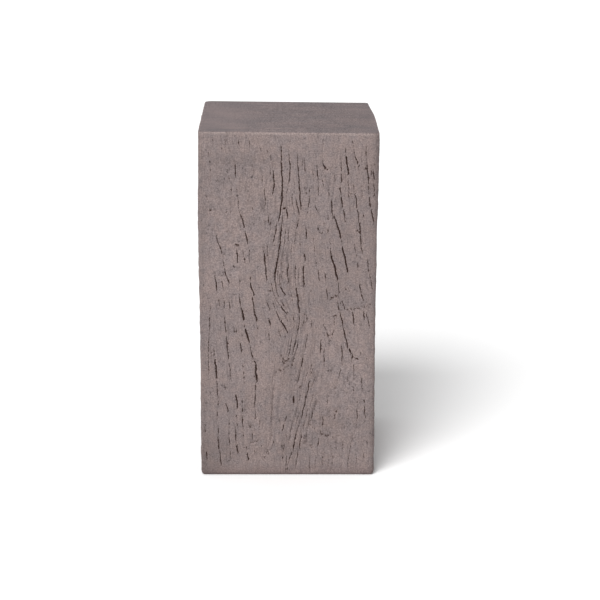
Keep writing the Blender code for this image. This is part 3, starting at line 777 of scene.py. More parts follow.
    Check((127.4, 182), (128.6, 164), 1.9, 0.6),
    Check((126, 166), (130.8, 156), 2, 0.7),
    Check((120, 150), (121.4, 130), 1.5, 0.45),
    Check((120.2, 124), (120.8, 102), 1.8, 0.65),
    Check((120, 98), (119.6, 84), 1.3, 0.36),
    Check((132.4, 138), (133, 134), 2.3, 0.8),
    Check((133, 130), (135.2, 106), 1.8, 0.65),
    Check((136.2, 67), (140.6, 58), 2.1, 0.75),
    Check((61.2, 112), (61, 90), 1.8, 0.55),
    Check((56.4, 82), (57.8, 77), 2, 0.8),
    Check((58.4, 76.8), (70.4, 74.4), 1.5, 0.62),
    Check((54.8, 68), (52.8, 52), 1.9, 0.65),
    Check((76, 58), (76.8, 34), 1.6, 0.35),
    Check((110.6, 56), (108, 38), 1.5, 0.35),
    Check((84.8, 66), (85.6, 48), 1.5, 0.35),
)

FRONT = SideCarving(
    facing=Facing.FRONT,
    columns=262,
    lean=0.04,
    seed=11,
    drifts=(
        Region((-0.25, 0.64), (0.2, 0.21), 0.13),
        Region((-0.23, 0.44), (0.15, 0.1), 0.12),
        Region((-0.06, 0.7), (0.09, 0.09), -0.28),
        Region((-0.05, 0.49), (0.08, 0.06), 0.5),
        Region((0.29, 0.65), (0.14, 0.2), 0.2),
        Region((0.33, 0.41), (0.12, 0.1), 0.12),
        Region((0.08, 0.18), (0.15, 0.18), -0.33),
    ),
    waves=(
        Region((-0.2, 0.77), (0.23, 0.15), -1),
        Region((0.23, 0.85), (0.2, 0.12), 0.8),
        Region((0, 0.54), (0.15, 0.1), 0.9),
        Region((-0.23, 0.18), (0.2, 0.12), 1),
        Region((0.31, 0.25), (0.2, 0.13), -1.1),
    ),
    ribs=(
        Region((-0.03, 0.63), (0.12, 0.2), 1.5),
        Region((0.03, 0.41), (0.07, 0.09), 1.4),
        Region((0.1, 0.22), (0.12, 0.14), 1.2),
        Region((0.32, 0.83), (0.14, 0.14), 0.7),
        Region((-0.33, 0.35), (0.12, 0.2), 0.5),
        Region((0.28, 0.05), (0.26, 0.06), 0.5),
    ),
    bosses=(
        Region((-0.164, 0.13), (0.026, 0.01), 1.5),
        Region((-0.18, 0.08), (0.023, 0.012), 1),
        Region((-0.236, 0.112), (0.03, 0.018), 0.7),
        Region((0.275, 0.212), (0.05, 0.009), 1.7),
        Region((0.138, 0.136), (0.02, 0.01), 1),
        Region((0.407, 0.098), (0.034, 0.024), 1.2),
        Region((0.013, 0.36), (0.018, 0.008), 1.7),
        Region((-0.049, 0.28), (0.036, 0.014), 1.2),
        Region((0.23, 0.352), (0.04, 0.03), 1),
        Region((-0.102, 0.641), (0.018, 0.008), 1.5),
        Region((-0.215, 0.502), (0.022, 0.013), 0.8),
        Region((0.082, 0.464), (0.02, 0.014), -1),
        Region((-0.02, 0.185), (0.03, 0.03), -0.8),
        Region((-0.06, 0.12), (0.05, 0.03), 0.8),
    ),
    creases=FRONT_CREASES,
    stains_and_shading=FRONT_STAINS_AND_SHADING,
    checks=FRONT_CHECKS,
)

RIGHT = SideCarving(
    facing=Facing.RIGHT,
    columns=70,
    lean=0.03,
    drifts=(
        Region((-0.23, 0.69), (0.2, 0.18), -0.16),
        Region((0.07, 0.49), (0.1, 0.1), 0.35),
        Region((0.25, 0.3), (0.18, 0.2), 0.14),
        Region((-0.13, 0.21), (0.13, 0.12), 0.2),
    ),
    waves=(
        Region((-0.5, 0.46), (0.36, 0.26), -1.7),
        Region((-0.5, 0.72), (0.3, 0.06), -1),
        Region((0.26, 0.62), (0.26, 0.2), 1.2),
        Region((0.5, 0.25), (0.26, 0.15), -1.2),
        Region((0.02, 0.99), (0.26, 0.08), 0.9),
        Region((0.5, 0.99), (0.28, 0.08), -4.8),
    ),
    ribs=(
        Region((-0.23, 0.69), (0.16, 0.18), 1.4),
        Region((0.08, 0.48), (0.12, 0.1), 1.5),
        Region((0.24, 0.2), (0.16, 0.14), 0.8),
    ),
    bosses=(
        Region((0.23, 0.37), (0.05, 0.018), 1.4),
        Region((-0.3, 0.17), (0.05, 0.02), 1.2),
        Region((0.06, 0.56), (0.04, 0.016), -1),
        Region((-0.12, 0.3), (0.04, 0.012), 1.3),
    ),
    creases=(
        Crease((-62, 236), (-40, 228), 6, 1.2, 0.14),
        Crease((-40, 228), (-34, 208), 6, 1, 0.12),
        Crease((40, 120), (64, 128), 6.5, 1.2, 0.12, 4),
        Crease((74, 420), (98, 416), 6, 0.9, 0.12),
        Crease((10, 190), (4, 60), 7, 1.2, 0.05, 3),
    ),
    stains_and_shading=(
        Region((-0.1, 0.98), (0.5, 0.03), 0.04),
        Region((0.48, 0.04), (0.16, 0.09), -0.16),
        Region((-0.12, 0.3), (0.16, 0.06), 0.05),
        Region((0.08, 0.6), (0.1, 0.04), -0.07),
        Region((0.3, 0.8), (0.16, 0.09), 0.05),
        Region((-0.36, 0.47), (0.1, 0.05), -0.06),
        Region((0.3, 0.52), (0.1, 0.04), -0.05),
        Region((-0.22, 0.1), (0.12, 0.03), -0.07),
    ),
    seed=23,
)

BACK = SideCarving(
    facing=Facing.BACK,
    columns=70,
    lean=-0.04,
    drifts=(
        Region((-0.2, 0.74), (0.16, 0.15), 0.2),
        Region((0.1, 0.34), (0.09, 0.09), -0.4),
        Region((0.3, 0.62), (0.16, 0.2), -0.15),
        Region((-0.3, 0.26), (0.16, 0.15), -0.12),
    ),
    waves=(
        Region((-0.5, 0.75), (0.3, 0.13), 1.3),
        Region((0.03, 0.49), (0.3, 0.18), -1.2),
        Region((0.39, 0.2), (0.3, 0.12), 1.1),
    ),
    ribs=(
        Region((-0.2, 0.74), (0.15, 0.16), 1.2),
        Region((0.1, 0.34), (0.11, 0.12), 1.5),
        Region((0.32, 0.62), (0.12, 0.16), 0.8),
    ),
    bosses=(
        Region((-0.26, 0.44), (0.05, 0.018), 1.3),
        Region((0.2, 0.14), (0.05, 0.022), 1.2),
        Region((0.03, 0.22), (0.04, 0.014), 1.4),
        Region((-0.05, 0.62), (0.04, 0.016), -1),
    ),
    creases=(
        Crease((-96, 300), (-72, 308), 6, 1.2, 0.14),
        Crease((8, 150), (24, 136), 6, 1.2, 0.14),
        Crease((56, 440), (80, 436), 6, 1, 0.12),
        Crease((-40, 170), (-52, 50), 7, 1.2, 0.05, -3),
    ),
    stains_and_shading=(
        Region((0.05, 0.98), (0.5, 0.03), 0.04),
        Region((-0.46, 0.06), (0.16, 0.08), -0.14),
        Region((0.26, 0.44), (0.14, 0.06), 0.05),
        Region((0.02, 0.24), (0.08, 0.03), -0.08),
        Region((-0.3, 0.6), (0.14, 0.08), 0.04),
        Region((0.42, 0.76), (0.1, 0.08), -0.06),
        Region((-0.1, 0.46), (0.1, 0.04), -0.05),
        Region((0.3, 0.07), (0.16, 0.04), -0.06),
    ),
    seed=38,
)

LEFT = SideCarving(
    facing=Facing.LEFT,
    columns=70,
    lean=0.02,
    drifts=(
        Region((-0.1, 0.62), (0.11, 0.12), -0.3),
        Region((0.2, 0.75), (0.16, 0.15), 0.18),
        Region((0.13, 0.23), (0.16, 0.15), -0.18),
        Region((-0.33, 0.36), (0.15, 0.2), 0.14),
    ),
    waves=(
        Region((0.5, 0.72), (0.33, 0.2), 1.8),
        Region((0.07, 0.41), (0.3, 0.16), -1.1),
        Region((-0.5, 0.54), (0.26, 0.23), -1.3),
    ),
    ribs=(
        Region((-0.1, 0.62), (0.12, 0.14), 1.5),
        Region((0.22, 0.75), (0.12, 0.14), 0.9),
        Region((0.14, 0.22), (0.15, 0.14), 1.1),
    ),
    bosses=(
        Region((0.28, 0.48), (0.05, 0.018), 1.2),
        Region((-0.28, 0.28), (0.05, 0.02), 1.3),
        Region((-0.08, 0.12), (0.04, 0.014), 1.3),
        Region((0.02, 0.4), (0.04, 0.016), -1),
    ),
    creases=(
        Crease((70, 300), (96, 292), 6, 1.2, 0.14),
        Crease((-84, 150), (-66, 160), 6, 1.2, 0.14),
        Crease((-30, 470), (-10, 466), 6, 1, 0.12),
        Crease((52, 180), (46, 60), 7, 1.2, 0.05, 3),
    ),
    stains_and_shading=(
        Region((0, 0.98), (0.5, 0.03), 0.04),
        Region((0.48, 0.05), (0.18, 0.09), -0.18),
        Region((-0.26, 0.76), (0.14, 0.08), 0.05),
        Region((0.1, 0.52), (0.1, 0.04), -0.07),
        Region((-0.36, 0.36), (0.1, 0.06), -0.05),
        Region((0.3, 0.32), (0.12, 0.05), 0.05),
        Region((-0.12, 0.16), (0.12, 0.04), -0.06),
    ),
    seed=52,
)

# Where the top is painted lighter or darker, in shares of it from its middle: partly its own blotches,
# partly painted light and shade, lighter to the left and darker to the right.
TOP_STAINS_AND_SHADING = (
    Region((-0.4, 0), (0.2, 0.6), 0.05),
    Region((-0.2, 0.15), (0.12, 0.1), -0.05),
    Region((0.05, 0.25), (0.22, 0.14), -0.04),
    Region((0.12, -0.3), (0.16, 0.09), -0.05),
    Region((0.36, -0.05), (0.26, 0.5), -0.09),
    Region((0.16, -0.05), (0.14, 0.05), 0.04),
    Region((-0.1, -0.44), (0.4, 0.05), 0.03),
)


@dataclass(frozen=True)
class Sowing:
    """One round of scattered checks: how many, how long and wide, and how clear, in metres."""

    count: int
    tries: int
    lengths: tuple[float, float]
    gapes: tuple[float, float]
    spacing: float
    clear_of_top: float


@dataclass(frozen=True)
class Scatter:
    """How marks are scattered over a side, in metres.

    A side without drawn checks first gets the open ones that the solid has too, and then the
    fine ones. Every side gets wrinkles, which are short creases and ridges in any direction.
    """

    open_checks: Sowing = Sowing(14, 500, (0.028, 0.105), (0.0021, 0.0034), 0.014, 0.022)
    fine_checks: Sowing = Sowing(70, 2000, (0.006, 0.045), (0.00147, 0.002205), 0.0075, 0.011)
    fine_tones: tuple[float, float] = (0.35, 0.8)
    clear_of_arris: float = 0.012
    clear_of_foot: float = 0.014
    station_pitch: float = 0.014
    wrinkle_count: int = 110
    wrinkle_length: float = 0.007
    wrinkle_width: float = 0.0024
    wrinkle_depth: float = 0.0009
    # The painted shade in the bottom of a wrinkle, at most.
    wrinkle_tone: float = 0.24
    wrinkle_least: float = 0.3


# A scattered check in metres: its head, its foot and its gape.
Mark = tuple[tuple[float, float], tuple[float, float], float]


@dataclass
class CarvedSide:
    """One upright side worked out on a net of columns that run down the grain.

    The flat is the width between the side's rounded arrises. The net's places are in metres:
    across from the middle of the face, and up from its foot at each row.
    """

    carving: SideCarving
    breadth: float
    height: float
    flat: float
    rows: np.ndarray
    sizes: Carving = field(default_factory=Carving)
    grain: Grain = field(default_factory=Grain)
    scatter: Scatter = field(default_factory=Scatter)

    def __post_init__(self) -> None:
        """Lays the grain, opens the checks and dents the face between them."""
        self.rng = random.Random(self.carving.seed)
        self.labels = np.linspace(-self.flat / 2, self.flat / 2, self.carving.columns + 1)
        self.checks = list(self.carving.checks) or self.scattered()
        self.across = self.grain_lines()
        self.steps = np.diff(self.across, axis=0)
        self.pinned = np.zeros(self.across.shape, dtype=bool)
        self.sink = np.zeros_like(self.across)
        self.dark = np.zeros_like(self.across)
        self.open_checks()
        self.dent()

    def background_lean(self, across: np.ndarray, up: np.ndarray) -> np.ndarray:
        """Run of the grain to the right for each length down, where no check shows it."""
        places = (across / self.breadth, up / self.height)
        return self.carving.lean + sum(d.at(*places) for d in self.carving.drifts)

    def scattered(self) -> list[Check]:
        """Checks laid at random along the grain, each clear of the others.

        Returns:
            The open checks, which the solid has too, and then the fine ones.
        """
        rng = random.Random(self.carving.seed)
        found: list[Mark] = []
        self.sow(found, self.scatter.open_checks, rng)
        open_count = len(found)
        self.sow(found, self.scatter.fine_checks, rng)
        checks = []
        for i, (head, foot, gape) in enumerate(found):
            tone = 1.0 if i < open_count else rng.uniform(*self.scatter.fine_tones)
            places = [(across / MM, up / MM) for across, up in (head, foot)]
            checks.append(Check(*places, gape / MM, tone))
        return checks

    def sow(self, found: list[Mark], sowing: Sowing, rng: random.Random) -> None:
        """Adds one round of checks that follow the grain.

        Args:
            found: the checks so far, to which the new ones are added.
            sowing: how many to add, and how.
            rng: the source of their random sizes and places.
        """
        wanted = len(found) + sowing.count
        half = self.breadth / 2 - self.scatter.clear_of_arris
        for _ in range(sowing.tries):
            if len(found) == wanted:
                break
            length = rng.uniform(*sowing.lengths)
            lowest = self.scatter.clear_of_foot + length
            head_up = rng.uniform(lowest, self.height - sowing.clear_of_top)
            across = rng.uniform(-half, half)
            gape = rng.uniform(*sowing.gapes)
            end = self.grain_end(across, head_up, length)
            check = ((across, head_up), (end, head_up - length), gape)
            if abs(end) < half and all(self.apart(check, other, sowing.spacing) for other in found):
                found.append(check)

    def wrinkles(self) -> list[Crease]:
        """Short creases and ridges in any direction, scattered over the face.

        Returns:
            The wrinkles. They are never narrower than a column of the net.
        """
        s = self.scatter
        width = max(s.wrinkle_width, self.flat / self.carving.columns) / MM
        found = []
        for _ in range(s.wrinkle_count):
            across = self.rng.uniform(-0.5, 0.5) * self.flat / MM
            up = self.rng.uniform(s.clear_of_foot, self.height - s.clear_of_foot) / MM
            turn = self.rng.uniform(0, math.pi)
            length = self.rng.uniform(s.wrinkle_least, 1.0) * s.wrinkle_length / MM
            depth = self.rng.uniform(-1.0, 1.0) * s.wrinkle_depth / MM
            end = (across + length * math.cos(turn), up + length * math.sin(turn))
            # A wrinkle that dents the face gets painted shade in its bottom.
            tone = self.rng.uniform(s.wrinkle_least, 1.0) * s.wrinkle_tone if depth > 0 else 0.0
            found.append(Crease((across, up), end, width, depth, tone))
        return found

    def grain_end(self, across: float, head_up: float, length: float) -> float:
        """Follows a line of grain down the face.

        Args:
            across: where it starts across the face, in metres.
            head_up: the height that it starts from.
            length: how far it runs down.

        Returns:
            Its place across at its lower end.
        """
        steps = math.ceil(length / self.scatter.station_pitch)
        drop = length / steps
        for i in range(steps):
            across += float(self.background_lean(across, head_up - drop * i)) * drop
        return across

    @staticmethod
    def apart(one: Mark, other: Mark, spacing: float) -> bool:
        """Whether two checks pass clear of each other.

        Args:
            one: a check.
            other: another check.
            spacing: the least way between them, in metres.

        Returns:
            True where one ends above the other, or both its ends lie clear to the same side.
        """
        if max(one[1][1], other[1][1]) > min(one[0][1], other[0][1]) + spacing:
            return True
        gaps = [one[end][0] - other[end][0] for end in (0, 1)]
        return gaps[0] * gaps[1] > 0 and min(abs(gap) for gap in gaps) > spacing

    def lean_at(self, across: np.ndarray, up: float) -> np.ndarray:
        """Lean of the grain along one row: that of the checks near it, or the background's.

        Args:
            across: places across, in metres.
            up: the height of the row, in metres.

        Returns:
            The run to the right for each length down at each place.
        """
        g = self.grain
        lean = self.background_lean(across, np.full_like(across, up)) * g.background_weight
        weight = np.full_like(across, g.background_weight)
        for check in self.checks:
            near_up = min(max(up / MM, check.foot[1]), check.head[1])
            rise = (up / MM - near_up) / g.reach_up
            if abs(rise) > g.cutoff or check.length() < g.shortest_leaning:
                continue
            share = (check.head[1] - near_up) / check.drop()
            aside = (across / MM - check.across(share)) / g.reach_across
            near = np.exp(-aside * aside - rise * rise)
            lean += near * max(-g.steepest, min(g.steepest, check.lean_along(share)))
            weight += near
        edge = np.clip((self.flat / 2 - np.abs(across)) / g.edge_calm, 0, 1)
        return lean / weight * smoothstep(edge)

    def grain_lines(self) -> np.ndarray:
        """Draws the columns of the net from mid-height up and down along the grain.

        Returns:
            Their places across at each row. They are evenly spaced at mid-height.
        """
        count = len(self.rows)
        middle = count // 2
        lines = np.empty((count, len(self.labels)))
        lines[middle] = self.labels
        for way, ahead in ((1, range(middle + 1, count)), (-1, range(middle - 1, -1, -1))):
            for j in ahead:
                last, climb = lines[j - way], self.rows[j] - self.rows[j - way]
                step = last - self.lean_at(last, self.rows[j - way]) * climb
                lines[j] = step + self.grain.straightening * (self.labels - step)
        lines[:, 0], lines[:, -1] = self.labels[0], self.labels[-1]
        return lines

    def open_checks(self) -> None:
        """Gives each check a column, draws the net to it and its lips, and sinks its middle."""
        g = self.grain
        self.pinned[:, [0, -1]] = True
        self.even_out(0, len(self.rows), g.rounds_at_first)
        running = [c for c in self.checks if abs(c.lean()) <= self.sizes.crossing_lean]
        for check in sorted(running, key=lambda c: -c.gape * c.tone * math.sqrt(c.length())):
            rows = self.open_check(check)
            if len(rows):
                self.even_out(rows[0] - g.rows_round_one, rows[-1] + g.rows_round_one, g.rounds_for_one)
        self.even_out(0, len(self.rows), g.rounds_for_all)
        gap = self.sizes.narrowest_gap * MM
        for i in range(1, self.across.shape[1] - 1):
            self.across[:, i] = np.maximum(self.across[:, i], self.across[:, i - 1] + gap)
        for i in range(self.across.shape[1] - 2, 0, -1):
            self.across[:, i] = np.minimum(self.across[:, i], self.across[:, i + 1] - gap)

    def even_out(self, first: int, last: int, rounds: int) -> None:
        """Evens out the net between the points that are pinned.

        Args:
            first: the first row to even out.
            last: the row past the last one.
            rounds: how often.
        """
        first, last = max(first, 0), min(last, len(self.rows))
        share = self.grain.upright_share
        low, high = max(first - 1, 0), min(last + 1, len(self.rows))
        window = self.across[low:high].copy()
        steps = self.steps[low : high - 1]
        free = ~self.pinned[low:high]
        free[: first - low] = False
        free[len(free) - (high - last) :] &= high == last
        for _ in range(rounds):
            smooth = np.zeros_like(window)
            smooth[:, 1:-1] = window[:, :-2] + window[:, 2:]
            weight = np.full(window.shape, 2.0)
            smooth[1:] += share * (window[:-1] + steps)
            weight[1:] += share
            smooth[:-1] += share * (window[1:] - steps)
            weight[:-1] += share
            window = np.where(free, smooth / weight, window)
        self.across[low:high] = window

    def open_check(self, check: Check) -> np.ndarray:
        """Opens one check in a column of its own.

        Args:
            check: the check.

        Returns:
            The rows that it crosses, or none where the net has no room for it.
        """
        s = self.sizes
        rows = self.rows_of(check)
        share = (check.head[1] - self.rows[rows] / MM) / max(check.head[1] - check.foot[1], TINY)
        share = np.clip(share, 0, 1)
        line = self.line_of(check, share)
        swelling = self.swelling_of(check, share)
        half = np.maximum(check.gape * swelling / 2, s.narrowest_lip) * MM
        column, clear = self.free_column(line, rows, half)
        if column is None:
            log.info("no room for %s", check)
            return rows[:0]
        rows, line, half, swelling = rows[clear], line[clear], half[clear], swelling[clear]
        for aside in (-1, 0, 1):
            self.pinned[rows, column + aside] = True
            self.across[rows, column + aside] = line + aside * half
        toned = s.faint_depth + (1 - s.faint_depth) * check.tone
        self.sink[rows, column] = check.gape * s.depth_per_gape * toned * swelling * MM
        # A check's bottom is painted dark, and its lips a little, as shade in its depth.
        shade = check.tone * np.clip(s.contrast * (swelling - s.pale_share), s.faintest, 1)
        self.dark[rows, column] = shade
        for aside in (-1, 1):
            self.dark[rows, column + aside] = s.lip_shade * shade
        return rows

    def rows_of(self, check: Check) -> np.ndarray:
        """Finds the rows of the net that a check crosses.

        Args:
            check: the check.

        Returns:
            The rows from the lowest up, or those nearest to it where it is very short.
        """
        up = self.rows / MM
        rows = np.nonzero((up <= check.head[1]) & (up >= check.foot[1]))[0]
        if len(rows) < self.sizes.fewest_rows:
            nearest = int(np.argmin(np.abs(up - (check.head[1] + check.foot[1]) / 2)))
            rows = np.arange(max(nearest - 1, 1), min(nearest + 1, len(up) - 2) + 1)
        return rows

    def line_of(self, check: Check, share: np.ndarray) -> np.ndarray:
        """Draws the line of a check, with its wander.

        Args:
            check: the check.
            share: the share of the way down at each of its rows.

        Returns:
            Its places across, in metres, which stay clear of the arrises.
        """
        s = self.sizes
        waves = check.length() / s.wander_length
        turn = self.rng.uniform(0, math.tau) + math.tau * share * waves
        sway = s.wander * np.sin(turn) * np.sin(math.pi * share) * min(1.0, waves)
        most = self.flat / 2 - s.clear_of_arris * MM
        return np.clip((check.across(share) + sway) * MM, -most, most)

    def swelling_of(self, check: Check, share: np.ndarray) -> np.ndarray:
        """Works out how wide a check gapes on its way down.

        Args:
            check: the check.
            share: the share of the way down at each of its rows.

        Returns:
            Its width at each row, as a share of its gape.
        """
        s = self.sizes
        tip = s.tip_share + (s.bold_tip_share - s.tip_share) * check.tone**s.boldness
        swelling = tip + (1 - tip) * np.sin(math.pi * share) ** s.bluntness
        if len(share) <= len(s.short_swelling):
            swelling = np.array(s.short_swelling[: len(share)])
        frays = max(s.fewest_frays, round(check.length() / s.fray_length))
        most = s.fray * (s.fray_of_bold + (1 - s.fray_of_bold) * (1 - check.tone))
        fray = [1 + most * self.rng.uniform(-1, 1) for _ in range(frays + 1)]
        return swelling * np.interp(share * frays, np.arange(frays + 1), fray)

    def free_column(
        self, line: np.ndarray, rows: np.ndarray, half: np.ndarray
    ) -> tuple[int | None, np.ndarray]:
        """The free column that lies nearest to a check's line.

        Args:
            line: the check's places across, in metres, at its rows.
            rows: the rows of the net that it crosses.
            half: half its gape at each row, in metres.

        Returns:
            The column, or None where there is no room, and which of the rows are clear there.
        """
        s = self.sizes
        misses = np.abs(self.across[rows] - line[:, None]).mean(axis=0)
        gap = s.narrowest_gap * MM
        best, best_clear = None, np.zeros(len(rows), dtype=bool)
        for column in np.argsort(misses)[: s.nearest_columns]:
            if not s.clear_columns <= column < len(self.labels) - s.clear_columns:
                continue
            clear = ~self.pinned[rows, column - 1 : column + 2].any(axis=1)
            for row in np.nonzero(clear)[0]:
                pins = np.nonzero(self.pinned[rows[row]])[0]
                places = self.across[rows[row]]
                left, right = pins[pins < column - 1][-1], pins[pins > column + 1][0]
                room_left = line[row] - half[row] - places[left] - gap * (column - 1 - left)
                room_right = places[right] - line[row] - half[row] - gap * (right - column - 1)
                clear[row] = room_left >= 0 and room_right >= 0
            if clear.all():
                return int(column), clear
            if clear.sum() > best_clear.sum():
                best, best_clear = int(column), clear
        if best_clear.sum() < max(s.fewest_rows, s.least_clear * len(rows)):
            return None, best_clear
        return best, best_clear

    def dent(self) -> None:
        """Cuts what runs across the grain, and lays the creases and bosses on the face."""
        places = self.across / MM, np.broadcast_to(self.rows[:, None] / MM, self.across.shape)
        # Checks that cross the grain, creases and wrinkles get painted shade in their bottoms.
        for check in self.checks:
            if abs(check.lean()) > self.sizes.crossing_lean:
                near = Crease(check.head, check.foot, self.sizes.crossing_width).near(*places)
                self.sink = np.maximum(self.sink, near * check.gape * MM)
                self.dark = np.maximum(self.dark, near * check.tone)
        for crease in (*self.carving.creases, *self.wrinkles()):
            near = crease.near(*places)
            self.sink += near * crease.depth * MM
            self.dark = np.maximum(self.dark, near * crease.tone)
        shares = self.across / self.breadth, places[1] * MM / self.height
        self.sink -= sum(boss.at(*shares) for boss in self.carving.bosses) * MM
        self.ribbed = sum(rib.at(*shares) for rib in self.carving.ribs)
        # Painted shade: the face is darker near the arrises, where it turns away from the lamps.
        inset = self.flat / 2 - np.abs(self.across)
        edge_shade = self.sizes.rim_painted_shade * np.exp(-inset / (self.sizes.rim_width * MM))
        # Blotches of the face, with painted light and shade, less the painted shade near the arrises.
        self.stain_and_shading = sum(stain_and_shading.at(*shares) for stain_and_shading in self.carving.stains_and_shading) - edge_shade


def value_noise(
    rng: np.random.Generator, shape: tuple[int, int], cells: tuple[float, float]
) -> np.ndarray:
    """Smooth noise over a net.

    Args:
        rng: the source of its random heights.
        shape: rows and columns of the net.
        cells: rows and columns between one random height and the next.

    Returns:
        Its height at each row and column, from -1 to 1.
    """
    lattice = rng.uniform(-1, 1, [int(n / c) + 3 for n, c in zip(shape, cells)])
    parts = []
    for n, c in zip(shape, cells):
        place = np.arange(n) / c
        base = place.astype(int)
        parts.append((base, smoothstep(place - base)))
    (j, v), (i, u) = parts
    v = v[:, None]
    low = lattice[j][:, i] * (1 - u) + lattice[j][:, i + 1] * u
    high = lattice[j + 1][:, i] * (1 - u) + lattice[j + 1][:, i + 1] * u
    return low * (1 - v) + high * v


@dataclass
class PedestalBody:
    """The block: four carved sides, rounded arrises, a trowelled top and a flat underside.

    Two layers of ridges run with the grain, the second so many times as long and as wide, and
    the lumps lie aslant between them. The top falls a little to the right, as it was struck,
    its middle is dished by the trowel, and its corners are worn, those at the back the most.
    """

    width: float
    depth: float
    height: float
    arris_radius: float = 7 * MM
    top_arris_radius: float = 2.5 * MM
    wave_rise: float = 1.0 * MM
    panel_pitch: float = 30.5 * MM
    row_pitch: float = 3.2 * MM
    arris_steps: int = 4
    top_steps: int = 3
    ridge_rise: float = 0.27 * MM
    ridge_width: float = 3.0 * MM
    ridge_length: float = 60 * MM
    ridge_layers: tuple[tuple[int, int], ...] = ((1, 1), (2, 4))
    lump_rise: float = 0.85 * MM
    lump_size: float = 22 * MM
    lump_slant: float = 3
    # How fast the lumps' finer octaves weaken, how much finer each is, and how many there are.
    lump_octaves: tuple[float, float, int] = (0.7, 2.0, 3)
    top_fall: float = 2.4 * MM
    falling_share: float = 0.25
    corner_wear: tuple[float, float] = (1.0 * MM, 2.0 * MM)
    corner_reach: float = 6 * MM
    rubbed_from: float = 0.25
    rim_share: float = 0.99
    top_dish: float = 0.5 * MM
    top_slope: float = 6.0
    top_lump_size: float = 70 * MM
    top_lump_share: float = 0.4
    finer_lumps: float = 2.3
    cap_border: float = 6 * MM
    cap_pitch: float = 6.4 * MM
    merging: float = 0.01 * MM
    carvings: tuple[SideCarving, ...] = (FRONT, RIGHT, BACK, LEFT)
    top_stains_and_shading: tuple[Region, ...] = TOP_STAINS_AND_SHADING

    def __post_init__(self) -> None:
        """Works out the rows of the net, from foot to top, and its four sides."""
        low, high = self.arris_radius, self.height - self.top_arris_radius
        count = round((high - low) / self.row_pitch)
        self.rows = np.linspace(low, high, count + 1)
        meridian = self.meridian()
        self.picked = [row for row, _, _ in meridian]
        self.ups = np.array([up for _, up, _ in meridian])[:, None]
        self.insets = np.array([inset for _, _, inset in meridian])[:, None]
        self.sides = [
            CarvedSide(c, self.breadth(c), self.height, self.breadth(c) - 2 * low, self.rows)
            for c in self.carvings
        ]
        self.crests = {c.facing: self.crest(c) for c in self.carvings}

    def breadth(self, carving: SideCarving) -> float:
        """Width of a side."""
        return self.width if carving.facing.value % 180 == 0 else self.depth

    def reach(self, carving: SideCarving) -> float:
        """Distance of a side from the block's axis."""
        return (self.depth if carving.facing.value % 180 == 0 else self.width) / 2

    @staticmethod
    def axes(carving: SideCarving) -> tuple[np.ndarray, np.ndarray]:
        """Unit vectors to the right along a side and out of it, in plan."""
        turn = math.radians(carving.facing.value)
        return np.array([math.cos(turn), math.sin(turn)]), np.array([math.sin(turn), -math.cos(turn)])

    def crest(self, carving: SideCarving) -> float:
        """Finds the highest rise of a side's waves.

        Args:
            carving: the side's carving.

        Returns:
            The rise in metres, over the corners of the solid's panels, or 0 if all lie lower.
        """
        across = np.linspace(-0.5, 0.5, round(self.breadth(carving) / self.panel_pitch) + 1)
        up = np.linspace(0, 1, round(self.height / self.panel_pitch) + 1)
        grid = np.meshgrid(across, up)
        return float(max(0.0, (self.wave_rise * sum(w.at(*grid) for w in carving.waves)).max()))

    def rise(self, carving: SideCarving, across: np.ndarray, up: np.ndarray) -> np.ndarray:
        """Rise of a side's waves, with their crest at the full size.

        Args:
            carving: the side's carving.
            across: places across from the middle of the side, in metres.
            up: places up from its foot, in metres.

        Returns:
            The rise at each place, in metres, which is 0 or less.
        """
        places = (across / self.breadth(carving), up / self.height)
        waves = self.wave_rise * sum(w.at(*places) for w in carving.waves)
        return waves - self.crests[carving.facing]

    def meridian(self) -> list[tuple[int, float, float]]:
        """Lists the rows of the mesh from foot to top.

        Returns:
            For each, the side's row that it follows, its height and how far it is set in.
        """
        radius, steps = self.arris_radius, self.arris_steps
        turns = [math.pi / 2 * i / steps for i in range(steps)]
        rows = [(0, radius - radius * math.cos(t), radius - radius * math.sin(t)) for t in turns]
        rows += [(j, float(up), 0.0) for j, up in enumerate(self.rows)]
        last, radius, steps = len(self.rows) - 1, self.top_arris_radius, self.top_steps
        turns = [math.pi / 2 * (i + 1) / steps for i in range(steps)]
        rise = self.height - radius
        rows += [(last, rise + radius * math.sin(t), radius - radius * math.cos(t)) for t in turns]
        return rows

    def ruffle(self, side: CarvedSide) -> np.ndarray:
        """Makes the low ridges along the grain and the lumps between them.

        Args:
            side: the side.

        Returns:
            How far they stand out over the side's net, in metres.
        """
        rng = np.random.default_rng(side.carving.seed)
        pitch = side.flat / side.carving.columns
        shape = side.across.shape
        up, across = self.ridge_length / self.row_pitch, self.ridge_width / pitch
        layers = [(long * up, wide * across) for long, wide in self.ridge_layers]
        ridges = sum(value_noise(rng, shape, cells) for cells in layers) * (1 + side.ribbed)
        up = np.broadcast_to(self.rows[:, None], shape) / self.lump_size
        across = side.across / self.lump_size
        slanted = [across + up / self.lump_slant, up - across / self.lump_slant]
        places = np.dstack([*slanted, np.full(shape, side.carving.seed)])
        lumps = [[noise.fractal(place, *self.lump_octaves) for place in row] for row in places]
        return self.ridge_rise * ridges + self.lump_rise * np.array(lumps)

    def face_strip(self, side: CarvedSide, run: float) -> dict[str, np.ndarray]:
        """The part of the net that lies over the flat of a side.

        Args:
            side: the side.
            run: the way round the block to the left edge of the flat, in metres.

        Returns:
            Places in plan, ways round the block and what the finish has to know, by name.
        """
        right, out = self.axes(side.carving)
        across = side.across[self.picked]
        upright = (self.insets == 0) * 1.0
        lift = (self.ruffle(side) - side.sink)[self.picked] * upright
        plan = across[:, :, None] * right + (self.reach(side.carving) - self.insets)[:, :, None] * out
        return {
            "plan": plan + lift[:, :, None] * out,
            "label": np.broadcast_to(side.labels - side.labels[0] + run, across.shape),
            "hollow_shade": side.dark[self.picked] * upright,
            "stain_and_shading": side.stain_and_shading[self.picked],
            "ribbed": side.ribbed[self.picked],
        }

